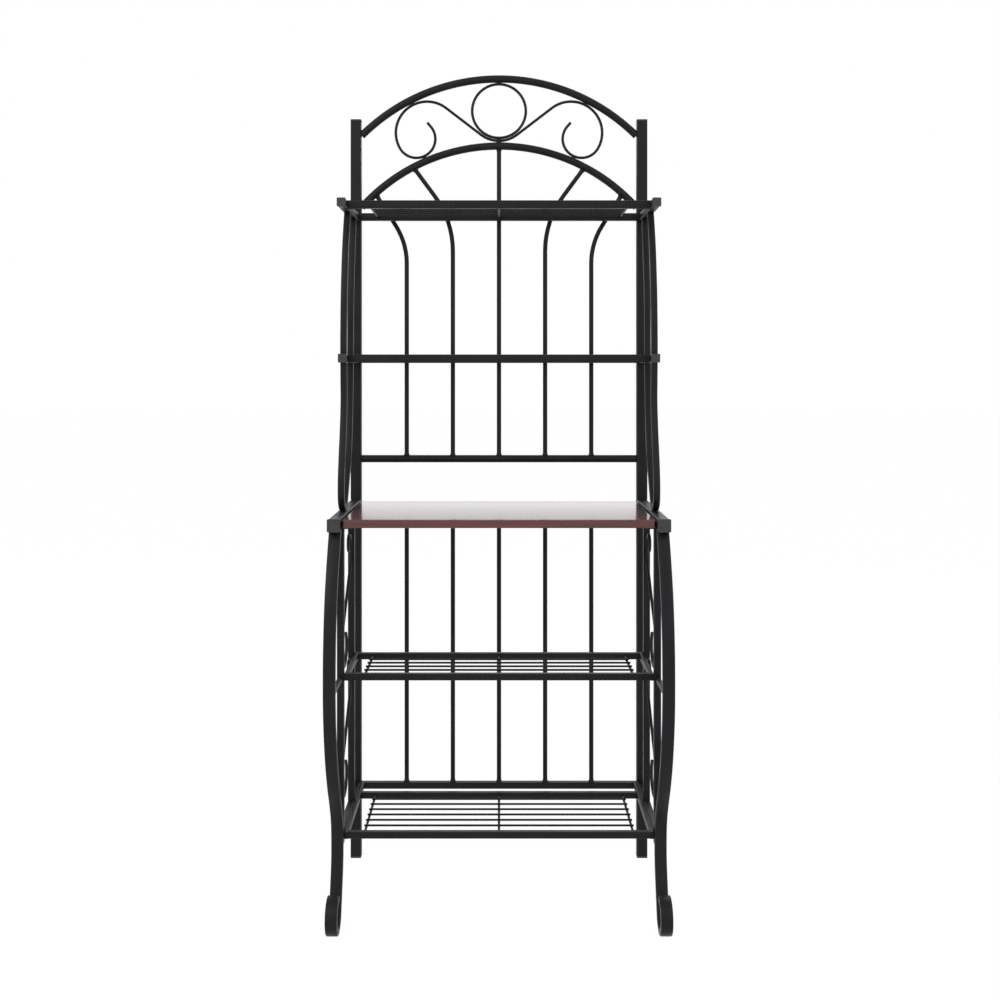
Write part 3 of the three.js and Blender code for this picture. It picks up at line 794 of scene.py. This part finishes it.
    def build_welds(self, steel: bpy.types.Material) -> None:
        """Puts a small weld bead wherever the ring and the scroll touch their neighbours.

        Args:
            steel: The finish.
        """
        ring_bottom = self.ring_height - self.ring_radius
        spots = [(0.0, self.ring_height + self.ring_radius), (0.0, ring_bottom),
                 (0.0, ring_bottom - SIZES.wire)]
        flat = self.scroll()
        above = np.abs(np.hypot(flat[:, 0], flat[:, 1] - self.crest.centre) - self.crest.radius)
        below = np.hypot(flat[:, 0], flat[:, 1] - self.inner.centre) - self.inner.radius
        beside = np.abs(flat[:, 0]) > self.ring_radius
        high, low = flat[np.argmin(above)], flat[np.argmin(np.where(beside, below, np.inf))]
        for point, centre, way in ((high, self.crest.centre, 1), (low, self.inner.centre, -1)):
            out = point - [0, centre]
            spot = point + way * out / np.linalg.norm(out) * SIZES.wire / 2
            spots += [(spot[0], spot[1]), (-spot[0], spot[1])]
        put("crest_weld_beads", [blob(centre, self.bead) for centre in in_back_plane(np.array(spots))],
            steel, Slot.STEEL)

    def build_rail(self, steel: bpy.types.Material) -> None:
        """Makes the round rail above the worktop.

        Args:
            steel: The finish.
        """
        x = np.linspace(-1, 1, self.rail_points) * (SIZES.inner_x - SIZES.gap)
        path = at(x, -SIZES.tube / 2, self.rail_height)
        put("upper_back_rail_tube", [sweep(path, ACROSS_BACK, round_section(SIZES.arch_tube))],
            steel, Slot.STEEL, "upper_back_rail")

    def flared(self, path: np.ndarray, steps: int = 7) -> tuple[np.ndarray, np.ndarray]:
        """Adds close stations at both ends of a path and widens them into weld flares.

        The factor is 1 plus the flare's share, times the square of how near the end is.

        Args:
            path: Points in metres.
            steps: Number of stations in each flare.

        Returns:
            The new path and the factor on its section.
        """
        step = np.linalg.norm(np.diff(path, axis=0), axis=1)
        far = np.concatenate([[0], np.cumsum(step)])
        near = np.linspace(0, self.flare_length * MM, steps)
        between = far[(far > near[-1]) & (far < far[-1] - near[-1])]
        stations = np.unique(np.concatenate([near, between, far[-1] - near]))
        dense = np.stack([np.interp(stations, far, path[:, k]) for k in range(3)], axis=1)
        end = np.minimum(stations, far[-1] - stations) / near[-1]
        return dense, 1 + (self.flare - 1) * np.clip(1 - end, 0, 1) ** 2

    def spindle_route(self, index: int, bottom: float) -> np.ndarray:
        """Works out an upper spindle, which leans outwards above its knee.

        The lean run is followed in tenths of a millimetre until it enters the inner arch.

        Args:
            index: Place from -2 on the left to 2 on the right.
            bottom: Height of its lower end.

        Returns:
            Points (X, height) in mm.
        """
        x = index * self.spacing
        under = self.inner.radius - SIZES.arch_tube / 2 + self.bite
        if index == 0:
            return bend((x, bottom), 90, [(self.inner.centre + under - bottom, 0)])
        knee = self.knees[abs(index) - 1]
        lean = np.radians(knee.lean)
        setback = knee.radius * np.tan(lean / 2)
        runs = np.linspace(0, 400, 4001)
        line = np.array([abs(x), knee.height]) + runs[:, None] * [np.sin(lean), np.cos(lean)]
        far = np.hypot(line[:, 0], line[:, 1] - self.inner.centre)
        stop = runs[np.argmax(far > under)]
        return bend((x, bottom), 90, [(knee.height - setback - bottom, 0),
                                      (knee.radius, -np.sign(index) * knee.lean),
                                      (stop - setback, 0)])

    def build_upper_spindle(self, index: int, steel: bpy.types.Material) -> None:
        """Makes the spindle above the worktop at one place.

        Args:
            index: Place from -2 on the left to 2 on the right.
            steel: The finish.
        """
        node = f"upper_spindle_{index + 3}"
        bottom = self.rail_height + SIZES.arch_tube / 2 - self.bite
        path, scale = self.flared(in_back_plane(self.spindle_route(index, bottom)))
        put(f"{node}_rod", [sweep(path, ACROSS_BACK, round_section(SIZES.spindle, WIRE_SIDES), scale)],
            steel, Slot.STEEL, node)

    def build_lower_spindle(self, index: int, steel: bpy.types.Material, points: int = 12) -> None:
        """Makes the spindle below the worktop at one place, over its CAD node's height.

        Args:
            index: Place from -2 on the left to 2 on the right.
            steel: The finish.
            points: Number of points along it.
        """
        node = f"lower_spindle_{index + 3}"
        low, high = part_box(node)
        height = np.linspace(low.z, high.z, points) / MM
        path, scale = self.flared(at(index * self.spacing, -SIZES.tube / 2, height))
        put(f"{node}_rod", [sweep(path, ACROSS_BACK, round_section(SIZES.spindle, WIRE_SIDES), scale)],
            steel, Slot.STEEL, node)


@dataclass(frozen=True)
class SideScroll:
    """An S-shaped wire between the two side posts.

    Fields:
        name: Upper or lower.
        height: Height where the slanted run crosses its middle, in mm.
        slant: Slope of that run, in degrees.
        middle_share: Share of the way from the rear post to the front one.
        upper: Radius and turn of the upper loop, then of its eye.
        lower: Radius and turn of the lower loop, then of its eye.
    """

    name: str
    height: float
    slant: float = 41.8
    middle_share: float = 0.343
    upper: tuple[Span, Span] = ((41.0, -110.0), (17.0, -190.0))
    lower: tuple[Span, Span] = ((40.0, -170.0), (34.0, -105.0))

    def route(self) -> np.ndarray:
        """Bends both halves from the middle, with runs that let the loops touch the posts.

        Returns:
            Points (reach, height) from the upper eye to the lower one.
        """
        slant = np.radians(self.slant)
        clear = SIZES.gap + SIZES.wire / 2
        rear, front = SIZES.rear_post_front + clear, SIZES.front_post_back - clear
        middle = rear + (front - rear) * self.middle_share
        halves = []
        for room, loop, heading in ((middle - rear, self.upper, 180 - self.slant),
                                    (front - middle, self.lower, -self.slant)):
            run = (room - loop[0][0] * (1 - np.sin(slant))) / np.cos(slant)
            halves.append(bend((middle, self.height), heading, [(run, 0), *loop]))
        return np.vstack([halves[0][::-1], halves[1][1:]])


@dataclass
class SideFrame:
    """Front leg and side scrolls of one side.

    Fields:
        side: Left or right.
        neck: Reach of the leg's rearmost point, in mm.
        bulge: Reach of its foremost point, in mm.
        thickness: The bar's size in the side plane.
        corner: Radius of the bar's corners.
        foot_radius: Outer radius of the foot scroll.
        foot_reach: Reach of its centre.
        foot_join: Angle where the leg joins it, in degrees.
        foot_end: Angle of its end, in degrees.
        leg_shares: Shares of the arm's height and of the way from neck to bulge.
        scrolls: The wires between the posts.
    """

    side: Side
    neck: float = 292.2
    bulge: float = 402.65
    thickness: float = 12.7
    corner: float = 2.6
    foot_radius: float = 35.5
    foot_reach: float = 351.0
    foot_join: float = 200.0
    foot_end: float = 98.0
    leg_shares: tuple[Share, ...] = (
        (1.02, 0.2), (0.933, 0.529), (0.841, 0.8), (0.748, 0.945), (0.66, 1), (0.555, 0.964),
        (0.448, 0.768), (0.371, 0.514), (0.3095, 0.239), (0.256, 0.05), (0.2086, 0), (0.148, 0.02))
    scrolls: tuple[SideScroll, ...] = (SideScroll("upper", 610.0), SideScroll("lower", 358.0))

    def build(self, steel: bpy.types.Material, wire: bpy.types.Material) -> None:
        """Builds the leg and the scroll wires.

        Args:
            steel: Finish of the leg.
            wire: Finish of the scrolls.
        """
        self.build_leg(steel)
        for scroll in self.scrolls:
            node = f"side_scroll_{scroll.name}_{self.side.label}"
            path = in_side_plane(scroll.route(), self.side.value * SIZES.post_x)
            put(f"{node}_wire", [sweep(path, ACROSS_SIDE, round_section(SIZES.wire, WIRE_SIDES))],
                wire, Slot.WIRE, node)

    def leg_route(self, level: float) -> np.ndarray:
        """Works out the leg: a smooth curve through its shares, then the foot's arc.

        Args:
            level: Height at which its upper end is cut.

        Returns:
            Points (reach, height) in mm.
        """
        shares = np.array(self.leg_shares)
        run = np.stack([self.neck + shares[:, 1] * (self.bulge - self.neck),
                        shares[:, 0] * SIZES.arm_bottom], axis=1)
        curl = self.foot_radius - self.thickness / 2
        join = np.radians(self.foot_join)
        start = np.array([self.foot_reach + curl * np.cos(join),
                          self.foot_radius + curl * np.sin(join)])
        foot = bend(start, self.foot_join + 90, [(curl, 360 + self.foot_end - self.foot_join)])
        flat = np.vstack([smooth_curve(np.vstack([run, start])), foot[1:]])
        first = int(np.argmax(flat[:, 1] < level))
        share = (flat[first - 1, 1] - level) / (flat[first - 1, 1] - flat[first, 1])
        top = flat[first - 1] + share * (flat[first] - flat[first - 1])
        return np.vstack([top, flat[first:]])

    def build_leg(self, steel: bpy.types.Material) -> None:
        """Makes the S-shaped leg and its foot scroll, cut level under the arm.

        Args:
            steel: The finish.
        """
        level = SIZES.arm_bottom - SIZES.gap
        path = in_side_plane(self.leg_route(level), self.side.value * SIZES.side_x)
        section = bar_section(SIZES.tube, self.thickness, self.corner)
        points, faces = sweep(path, ACROSS_SIDE, section)
        points[:len(section), 2] = level * MM
        points[:, 2] = np.minimum(points[:, 2], level * MM)
        node = f"front_leg_{self.side.label}"
        put(f"{node}_bar", [(points, faces)], steel, Slot.STEEL, node)


@dataclass
class Braces:
    """The U-shaped lower brace and the two upper limbs of one side.

    The tables hold shares of the height between two levels and of a limb's reach.

    Fields:
        side: Left or right.
        bar: Side of the square bar, in mm.
        corner: Radius of its corners.
        front_reach: Reach of the front limbs at the second shelf.
        rear_reach: Reach of the rear limbs at the second shelf.
        foot_reach: Reach of the centre of the lower brace's bend.
        foot_radius: Radius of that bend.
        foot_arc: First, last and step angle of that bend, in degrees.
    """

    side: Side
    bar: float = 12.7
    corner: float = 2.6
    front_reach: float = 200.6
    rear_reach: float = 92.0
    foot_reach: float = 208.0
    foot_radius: float = 30.0
    foot_arc: Place = (225.0, 346.0, 12.0)
    lower_rear: tuple[Share, ...] = ((1.02, 1), (0.86, 1.03), (0.6, 1.14), (0.36, 1.36), (0.21, 1.66))
    lower_front: tuple[Share, ...] = (
        (0.21, 1.18), (0.36, 1.122), (0.53, 1.035), (0.72, 0.975), (0.86, 0.985), (1.02, 1))
    upper_front: tuple[Share, ...] = (
        (-0.02, 1), (0.12, 1), (0.38, 0.97), (0.58, 0.915), (0.72, 0.86), (0.86, 0.777), (1.02, 0.66))
    upper_rear: tuple[Share, ...] = (
        (-0.02, 1), (0.12, 0.975), (0.38, 0.94), (0.58, 0.822), (0.72, 0.71), (0.86, 0.57), (1.02, 0.39))

    def build(self, steel: bpy.types.Material) -> None:
        """Builds the lower brace and the upper limbs.

        Args:
            steel: The finish.
        """
        half = SIZES.shelf_tube / 2 + SIZES.gap
        low = (SIZES.arm_top, SIZES.second_shelf)
        high = (SIZES.second_shelf, SIZES.top_shelf)
        lower = np.vstack([self.limb(self.lower_rear, low, self.rear_reach), self.foot(),
                           self.limb(self.lower_front, low, self.front_reach)])
        self.build_bar("lower_brace", lower, (0, low[1] - half), steel)
        for name, shares, reach in (("upper_brace_front", self.upper_front, self.front_reach),
                                    ("upper_brace_rear", self.upper_rear, self.rear_reach)):
            self.build_bar(name, self.limb(shares, high, reach), (high[0] + half, high[1] - half), steel)

    def limb(self, shares: Sequence[Share], levels: Span, reach: float) -> np.ndarray:
        """Turns shares into control points.

        Args:
            shares: Shares of the height and of the reach.
            levels: Heights at shares 0 and 1.
            reach: Reach at share 1.

        Returns:
            Points (reach, height) in mm.
        """
        table = np.array(shares)
        return np.stack([reach * table[:, 1], levels[0] + (levels[1] - levels[0]) * table[:, 0]], axis=1)

    def foot(self) -> np.ndarray:
        """Works out the bend that rests on the arm: a centre plus a radius at even angles.

        Returns:
            Points (reach, height) in mm.
        """
        angle = np.radians(np.arange(*self.foot_arc))
        centre = SIZES.arm_top + SIZES.gap + self.bar / 2 + self.foot_radius
        return np.stack([self.foot_reach + self.foot_radius * np.cos(angle),
                         centre + self.foot_radius * np.sin(angle)], axis=1)

    def build_bar(self, name: str, flat: np.ndarray, levels: Span, steel: bpy.types.Material) -> None:
        """Sweeps the square bar along control points and cuts its ends level.

        Args:
            name: The node's name without its side.
            flat: Control points (reach, height).
            levels: Heights of the lowest and highest cut, in mm.
            steel: The finish.
        """
        curve = smooth_curve(flat)
        keep = (curve[:, 1] > levels[0]) & (curve[:, 1] < levels[1])
        first, last = int(np.argmax(keep)), len(keep) - int(np.argmax(keep[::-1]))
        path = in_side_plane(curve[max(first - 1, 0):last + 1], self.side.value * SIZES.side_x)
        points, faces = sweep(path, ACROSS_SIDE, bar_section(self.bar, self.bar, self.corner))
        points[:, 2] = np.clip(points[:, 2], levels[0] * MM, levels[1] * MM)
        node = f"{name}_{self.side.label}"
        put(f"{node}_bar", [(points, faces)], steel, Slot.STEEL, node)


@dataclass
class Grid:
    """The wire grid of one shelf: three rods with long wires on top.

    Fields:
        name: The shelf's name.
        height: Height of the rods' axes, in mm.
        rear: Reach of the rear bar's front face.
        front: Reach of the front bar's rear face.
        count: Number of long wires.
        rod: Diameter of the rods.
        wire: Diameter of the wires.
        bite: How far the wires sink into the rods at their welds.
        offset: X of the outer rods.
        spacing: Distance between wires.
        overhang: Length of the wires beyond the outer rods.
        tip: Lengths of a wire's narrowed tip and of the run after it.
        tip_scale: Factor on the thickness at the tip.
    """

    name: str
    height: float
    rear: float
    front: float
    count: int
    rod: float = 5.0
    wire: float = 4.0
    bite: float = 0.8
    offset: float = 257.0
    spacing: float = 28.9
    overhang: float = 4.0
    tip: Span = (0.5, 3.0)
    tip_scale: float = 0.6

    def build(self, wire: bpy.types.Material) -> None:
        """Builds the rods and wires as one welded piece.

        Args:
            wire: The finish.
        """
        reach = np.linspace(self.rear + SIZES.gap, self.front - SIZES.gap, 9)
        rod, long_wire = round_section(self.rod, WIRE_SIDES), round_section(self.wire, WIRE_SIDES)
        parts = [sweep(at(i * self.offset, reach, self.height), ACROSS_SIDE, rod) for i in (-1, 0, 1)]
        half = self.offset + self.overhang
        middle = np.linspace(self.tip[1] - half, half - self.tip[1], 21)
        x = np.concatenate([[-half, self.tip[0] - half], middle, [half - self.tip[0], half]])
        scale = np.ones(len(x))
        scale[[0, -1]] = self.tip_scale
        top = self.height + self.rod / 2 + self.wire / 2 - self.bite
        parts += [sweep(at(x, self.front - i * self.spacing, top), ACROSS_BACK, long_wire, scale)
                  for i in range(1, self.count + 1)]
        put(f"{self.name}_shelf_wires", parts, wire, Slot.WIRE, f"{self.name}_shelf_grid")


@dataclass
class ShelfFrame:
    """The welded rim of one shelf: two side bars and two cross bars.

    Fields:
        name: The shelf's name.
        bar: Side of the cross bars and height of the side bars, in mm.
        side_bar: Width of the side bars.
        corner: Radius of the corners.
        cross_reaches: Reaches of the cross bars' axes.
        trim: How much thinner the cross bars are, so that no two faces coincide.
    """

    name: str
    bar: float
    side_bar: float
    corner: float
    cross_reaches: Span
    trim: float = 0.2

    def build(self, steel: bpy.types.Material) -> None:
        """Builds the rim as one welded piece over its CAD node's box.

        Args:
            steel: The finish.
        """
        node = f"{self.name}_shelf_frame"
        low, high = (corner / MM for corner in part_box(node))
        height, side_x = (low.z + high.z) / 2, high.x - self.side_bar / 2
        reach = np.linspace(REACH_ZERO - high.y, REACH_ZERO - low.y, 7)
        long_bar = bar_section(self.side_bar, self.bar, self.corner)
        parts = [sweep(at(side.value * side_x, reach, height), ACROSS_SIDE, long_bar) for side in Side]
        cross = bar_section(self.bar - self.trim, self.bar - self.trim, self.corner)
        x = np.linspace(-side_x, side_x, 9)
        parts += [sweep(at(x, place, height), ACROSS_BACK, cross) for place in self.cross_reaches]
        put(f"{node}_rim", parts, steel, Slot.STEEL, node)


@dataclass
class Shelves:
    """Rims and grids of the four shelves.

    Fields:
        top_front: Reach of the rear face of the top shelf's front bar, in mm.
        second_front: The same for the second shelf.
        middle_height: Height of the middle of the middle shelf's bars.
        bottom_height: The same for the bottom shelf.
        bottom_rear: Reach of the front face of the bottom shelf's rear bar.
        lower_front: Reach of the rear face of the lower shelves' front bars.
        side_bar: Width of the lower shelves' side bars.
        upper_corner: Corner radius of the upper shelves' tubes.
        lower_corner: Corner radius of the lower shelves' bars.
    """

    top_front: float = 192.1
    second_front: float = 175.1
    middle_height: float = 458.5
    bottom_height: float = 157.5
    bottom_rear: float = 70.0
    lower_front: float = 272.0
    side_bar: float = 7.5
    upper_corner: float = 2.0
    lower_corner: float = 1.6

    def build_grids(self, wire: bpy.types.Material) -> None:
        """Builds the four grids.

        Args:
            wire: The finish.
        """
        rear = SIZES.shelf_tube + SIZES.gap
        for grid in (Grid("top", SIZES.top_shelf, rear, self.top_front, 5),
                     Grid("second", SIZES.second_shelf, rear, self.second_front, 5),
                     Grid("middle", self.middle_height, SIZES.rear_post_front, self.lower_front, 4),
                     Grid("bottom", self.bottom_height, self.bottom_rear, self.lower_front, 6)):
            grid.build(wire)

    def build_rims(self, steel: bpy.types.Material) -> None:
        """Builds the four rims.

        Args:
            steel: The finish.
        """
        tube, bar = SIZES.shelf_tube, SIZES.lower_shelf_bar
        rear, front = tube / 2 + SIZES.gap, self.lower_front + bar / 2
        for name, place in (("top", self.top_front), ("second", self.second_front)):
            ShelfFrame(name, tube, tube, self.upper_corner, (rear, place + tube / 2)).build(steel)
        for name, place in (("middle", SIZES.rear_post_front), ("bottom", self.bottom_rear)):
            reaches = (place - bar / 2, front)
            ShelfFrame(name, bar, self.side_bar, self.lower_corner, reaches).build(steel)


@dataclass
class Worktop:
    """The laminated board, with small radii on its long edges and eased ends.

    Fields:
        edge_radius: Radius of the long edges, in mm.
        edge_steps: Number of points on each of them.
        end_easing: Width of the rounding at the ends, in mm.
        end_segments: Number of steps of that rounding.
        end_angle: Smallest angle of an edge that is rounded, in degrees.
    """

    edge_radius: float = 2.0
    edge_steps: int = 8
    end_easing: float = 0.9
    end_segments: int = 3
    end_angle: float = 50.0

    def build(self, laminate: bpy.types.Material) -> None:
        """Builds the board over its CAD node's box.

        Args:
            laminate: The finish.
        """
        low, high = (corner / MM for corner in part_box("worktop_board"))
        section = bar_section(high.y - low.y, high.z - low.z, self.edge_radius, self.edge_steps)
        x = np.linspace(low.x, high.x, 5)
        path = at(x, REACH_ZERO - (low.y + high.y) / 2, (low.z + high.z) / 2)
        board = put("worktop_board_laminate", [sweep(path, ACROSS_BACK, section)], laminate,
                    Slot.BOARD, "worktop_board")
        bevel = board.modifiers.new("end_easing", "BEVEL")
        bevel.width = self.end_easing * MM
        bevel.segments = self.end_segments
        bevel.limit_method = "ANGLE"
        bevel.angle_limit = np.radians(self.end_angle)


@dataclass(frozen=True)
class SquareWork:
    """Square tubes and plastic caps that keep their CAD shape.

    Fields:
        back: Rails of the lower back panel.
        tubes: Tubes that each side has.
        caps: Plastic parts that each side has.
    """

    back: tuple[str, ...] = ("lower_back_top_rail", "lower_back_bottom_rail")
    tubes: tuple[str, ...] = ("lower_upright", "upper_upright", "front_post", "rear_post",
                              "side_bottom_rail", "worktop_arm")
    caps: tuple[str, ...] = ("upright_cap", "rear_foot", "arm_cap", "top_shelf_cap", "second_shelf_cap")

    def dress(self, steel: bpy.types.Material, plastic: bpy.types.Material) -> None:
        """Gives every node its finish.

        Args:
            steel: Finish of rails and tubes.
            plastic: Finish of the caps.
        """
        for node in self.back:
            carry_over(node, steel)
        for side in Side:
            for names, material in ((self.tubes, steel), (self.caps, plastic)):
                for name in names:
                    carry_over(f"{name}_{side.label}", material)


@dataclass(frozen=True)
class SoftLight:
    """One square soft light.

    Fields:
        name: Its name.
        place: Its place, in metres.
        target: The point it shines at, in metres.
        size: Side of the square, in metres.
        power: Its power, in watts.
    """

    name: str
    place: Place
    target: Place
    size: float
    power: float

    def build(self) -> None:
        """Adds the light to the scene."""
        lamp = bpy.data.lights.new(self.name, "AREA")
        lamp.size, lamp.energy = self.size, self.power
        item = bpy.data.objects.new(self.name, lamp)
        item.location = self.place
        direction = Vector(self.target) - Vector(self.place)
        item.rotation_euler = direction.to_track_quat("-Z", "Y").to_euler()
        bpy.context.scene.collection.objects.link(item)


@dataclass(frozen=True)
class Studio:
    """Plain pale floor, white surroundings, soft lights and the camera.

    Fields:
        lights: The soft lights.
        floor_corners: Corners of the floor, in metres.
        floor_grey: Linear grey of the floor.
        floor_glow: Strength of the white that the camera and glossy rays see on the floor.
        glow_share: Share of that white, which leaves the shadow visible.
        ambient: Strength of the surroundings as a light.
        distance: Distance from the uprights' front faces to the camera, in metres.
        eye_height: Height of the camera, in metres.
        focal_pixels: Focal length in pixels of the photograph.
        horizon_row: Row of the horizon in the photograph.
        middle_column: Column of the rack's middle in the photograph.
        frame_pixels: Width and height of the photograph.
        sensor: Width of the camera's sensor, in mm.
    """

    lights: tuple[SoftLight, ...] = (
        SoftLight("key_light", (-2.2, -3.0, 3.0), (0.0, 0.0, 0.9), 2.2, 60.0),
        SoftLight("fill_light", (2.6, -2.4, 2.2), (0.0, 0.0, 0.8), 2.4, 34.0),
        SoftLight("back_light", (0.4, 2.4, 2.8), (0.0, 0.0, 1.0), 2.0, 30.0))
    floor_corners: tuple[Place, ...] = ((-12, -8, 0), (12, -8, 0), (12, 30, 0), (-12, 30, 0))
    floor_grey: float = 0.86
    floor_glow: float = 1.03
    glow_share: float = 0.94
    ambient: float = 0.55
    distance: float = 2.58
    eye_height: float = 1.039
    focal_pixels: float = 1207.0
    horizon_row: float = 372.0
    middle_column: float = 499.0
    frame_pixels: float = 1000.0
    sensor: float = 36.0

    def build(self) -> None:
        """Builds the floor, the world, the lights and the camera."""
        self.build_floor()
        self.build_world()
        for light in self.lights:
            light.build()
        self.build_camera()

    def seen(self, tree: bpy.types.NodeTree) -> bpy.types.NodeSocket:
        """Tells camera, glossy and transmission rays from the rest.

        Args:
            tree: Node tree that gets the nodes.

        Returns:
            A value of 1 for those rays and 0 for the others.
        """
        path = tree.nodes.new("ShaderNodeLightPath")
        total = path.outputs["Is Camera Ray"]
        for name in ("Is Glossy Ray", "Is Transmission Ray"):
            either = tree.nodes.new("ShaderNodeMath")
            either.operation = "MAXIMUM"
            tree.links.new(total, either.inputs[0])
            tree.links.new(path.outputs[name], either.inputs[1])
            total = either.outputs[0]
        return total

    def build_floor(self) -> None:
        """Makes the floor, which keeps a soft shadow on white."""
        material = bpy.data.materials.new("floor_white")
        material.use_nodes = True
        tree = material.node_tree
        tree.nodes.clear()
        diffuse = tree.nodes.new("ShaderNodeBsdfDiffuse")
        diffuse.inputs["Color"].default_value = (self.floor_grey, self.floor_grey, self.floor_grey, 1)
        glow = tree.nodes.new("ShaderNodeEmission")
        glow.inputs["Strength"].default_value = self.floor_glow
        share = tree.nodes.new("ShaderNodeMath")
        share.operation = "MULTIPLY"
        share.inputs[1].default_value = self.glow_share
        tree.links.new(self.seen(tree), share.inputs[0])
        mix = tree.nodes.new("ShaderNodeMixShader")
        for socket, source in enumerate((share, diffuse, glow)):
            tree.links.new(source.outputs[0], mix.inputs[socket])
        output = tree.nodes.new("ShaderNodeOutputMaterial")
        tree.links.new(mix.outputs[0], output.inputs["Surface"])
        mesh = bpy.data.meshes.new("floor")
        mesh.from_pydata(self.floor_corners, [], [(0, 1, 2, 3)])
        mesh.materials.append(material)
        floor = bpy.data.objects.new("floor", mesh)
        bpy.context.scene.collection.objects.link(floor)

    def build_world(self) -> None:
        """Makes the surroundings white where they are seen and dimmer as a light."""
        world = bpy.data.worlds.new("studio")
        bpy.context.scene.world = world
        world.use_nodes = True
        tree = world.node_tree
        background = tree.nodes["Background"]
        background.inputs["Color"].default_value = (1, 1, 1, 1)
        level = tree.nodes.new("ShaderNodeMapRange")
        level.inputs["To Min"].default_value = self.ambient
        level.inputs["To Max"].default_value = 1.0
        tree.links.new(self.seen(tree), level.inputs["Value"])
        tree.links.new(level.outputs[0], background.inputs["Strength"])

    def build_camera(self) -> None:
        """Places the level camera in front, with the photograph's framing by shift."""
        data = bpy.data.cameras.new("camera")
        data.sensor_width = self.sensor
        data.lens = self.sensor * self.focal_pixels / self.frame_pixels
        data.shift_x = (self.frame_pixels / 2 - self.middle_column) / self.frame_pixels
        data.shift_y = (self.horizon_row - self.frame_pixels / 2) / self.frame_pixels
        camera = bpy.data.objects.new("camera", data)
        camera.location = (0.0, REACH_ZERO * MM - self.distance, self.eye_height)
        camera.rotation_euler = (np.pi / 2, 0.0, 0.0)
        bpy.context.scene.collection.objects.link(camera)
        bpy.context.scene.camera = camera


def main() -> None:
    """Builds the studio and the rack in order."""
    logging.basicConfig(level=logging.INFO, format="%(message)s")
    bpy.context.scene.view_settings.view_transform = "Standard"
    steel = PowderCoat("powder_coated_steel", dark=(0.008, 0.008, 0.0095),
                       light=(0.013, 0.013, 0.015), gloss=(0.36, 0.5)).build()
    wire = PowderCoat("powder_coated_wire", dark=(0.007, 0.007, 0.008),
                      light=(0.011, 0.011, 0.013), gloss=(0.34, 0.46)).build()
    plastic = CapPlastic().build()
    laminate = CherryLaminate().build()
    Studio().build()
    BackPanel(crest=Arch(1668.0, rise=122.0), inner=Arch(1524.0, rise=132.0)).build(steel, wire)
    for side in Side:
        SideFrame(side).build(steel, wire)
        Braces(side).build(steel)
    shelves = Shelves()
    shelves.build_grids(wire)
    SquareWork().dress(steel, plastic)
    shelves.build_rims(steel)
    Worktop().build(laminate)


if __name__ == "__main__":
    main()
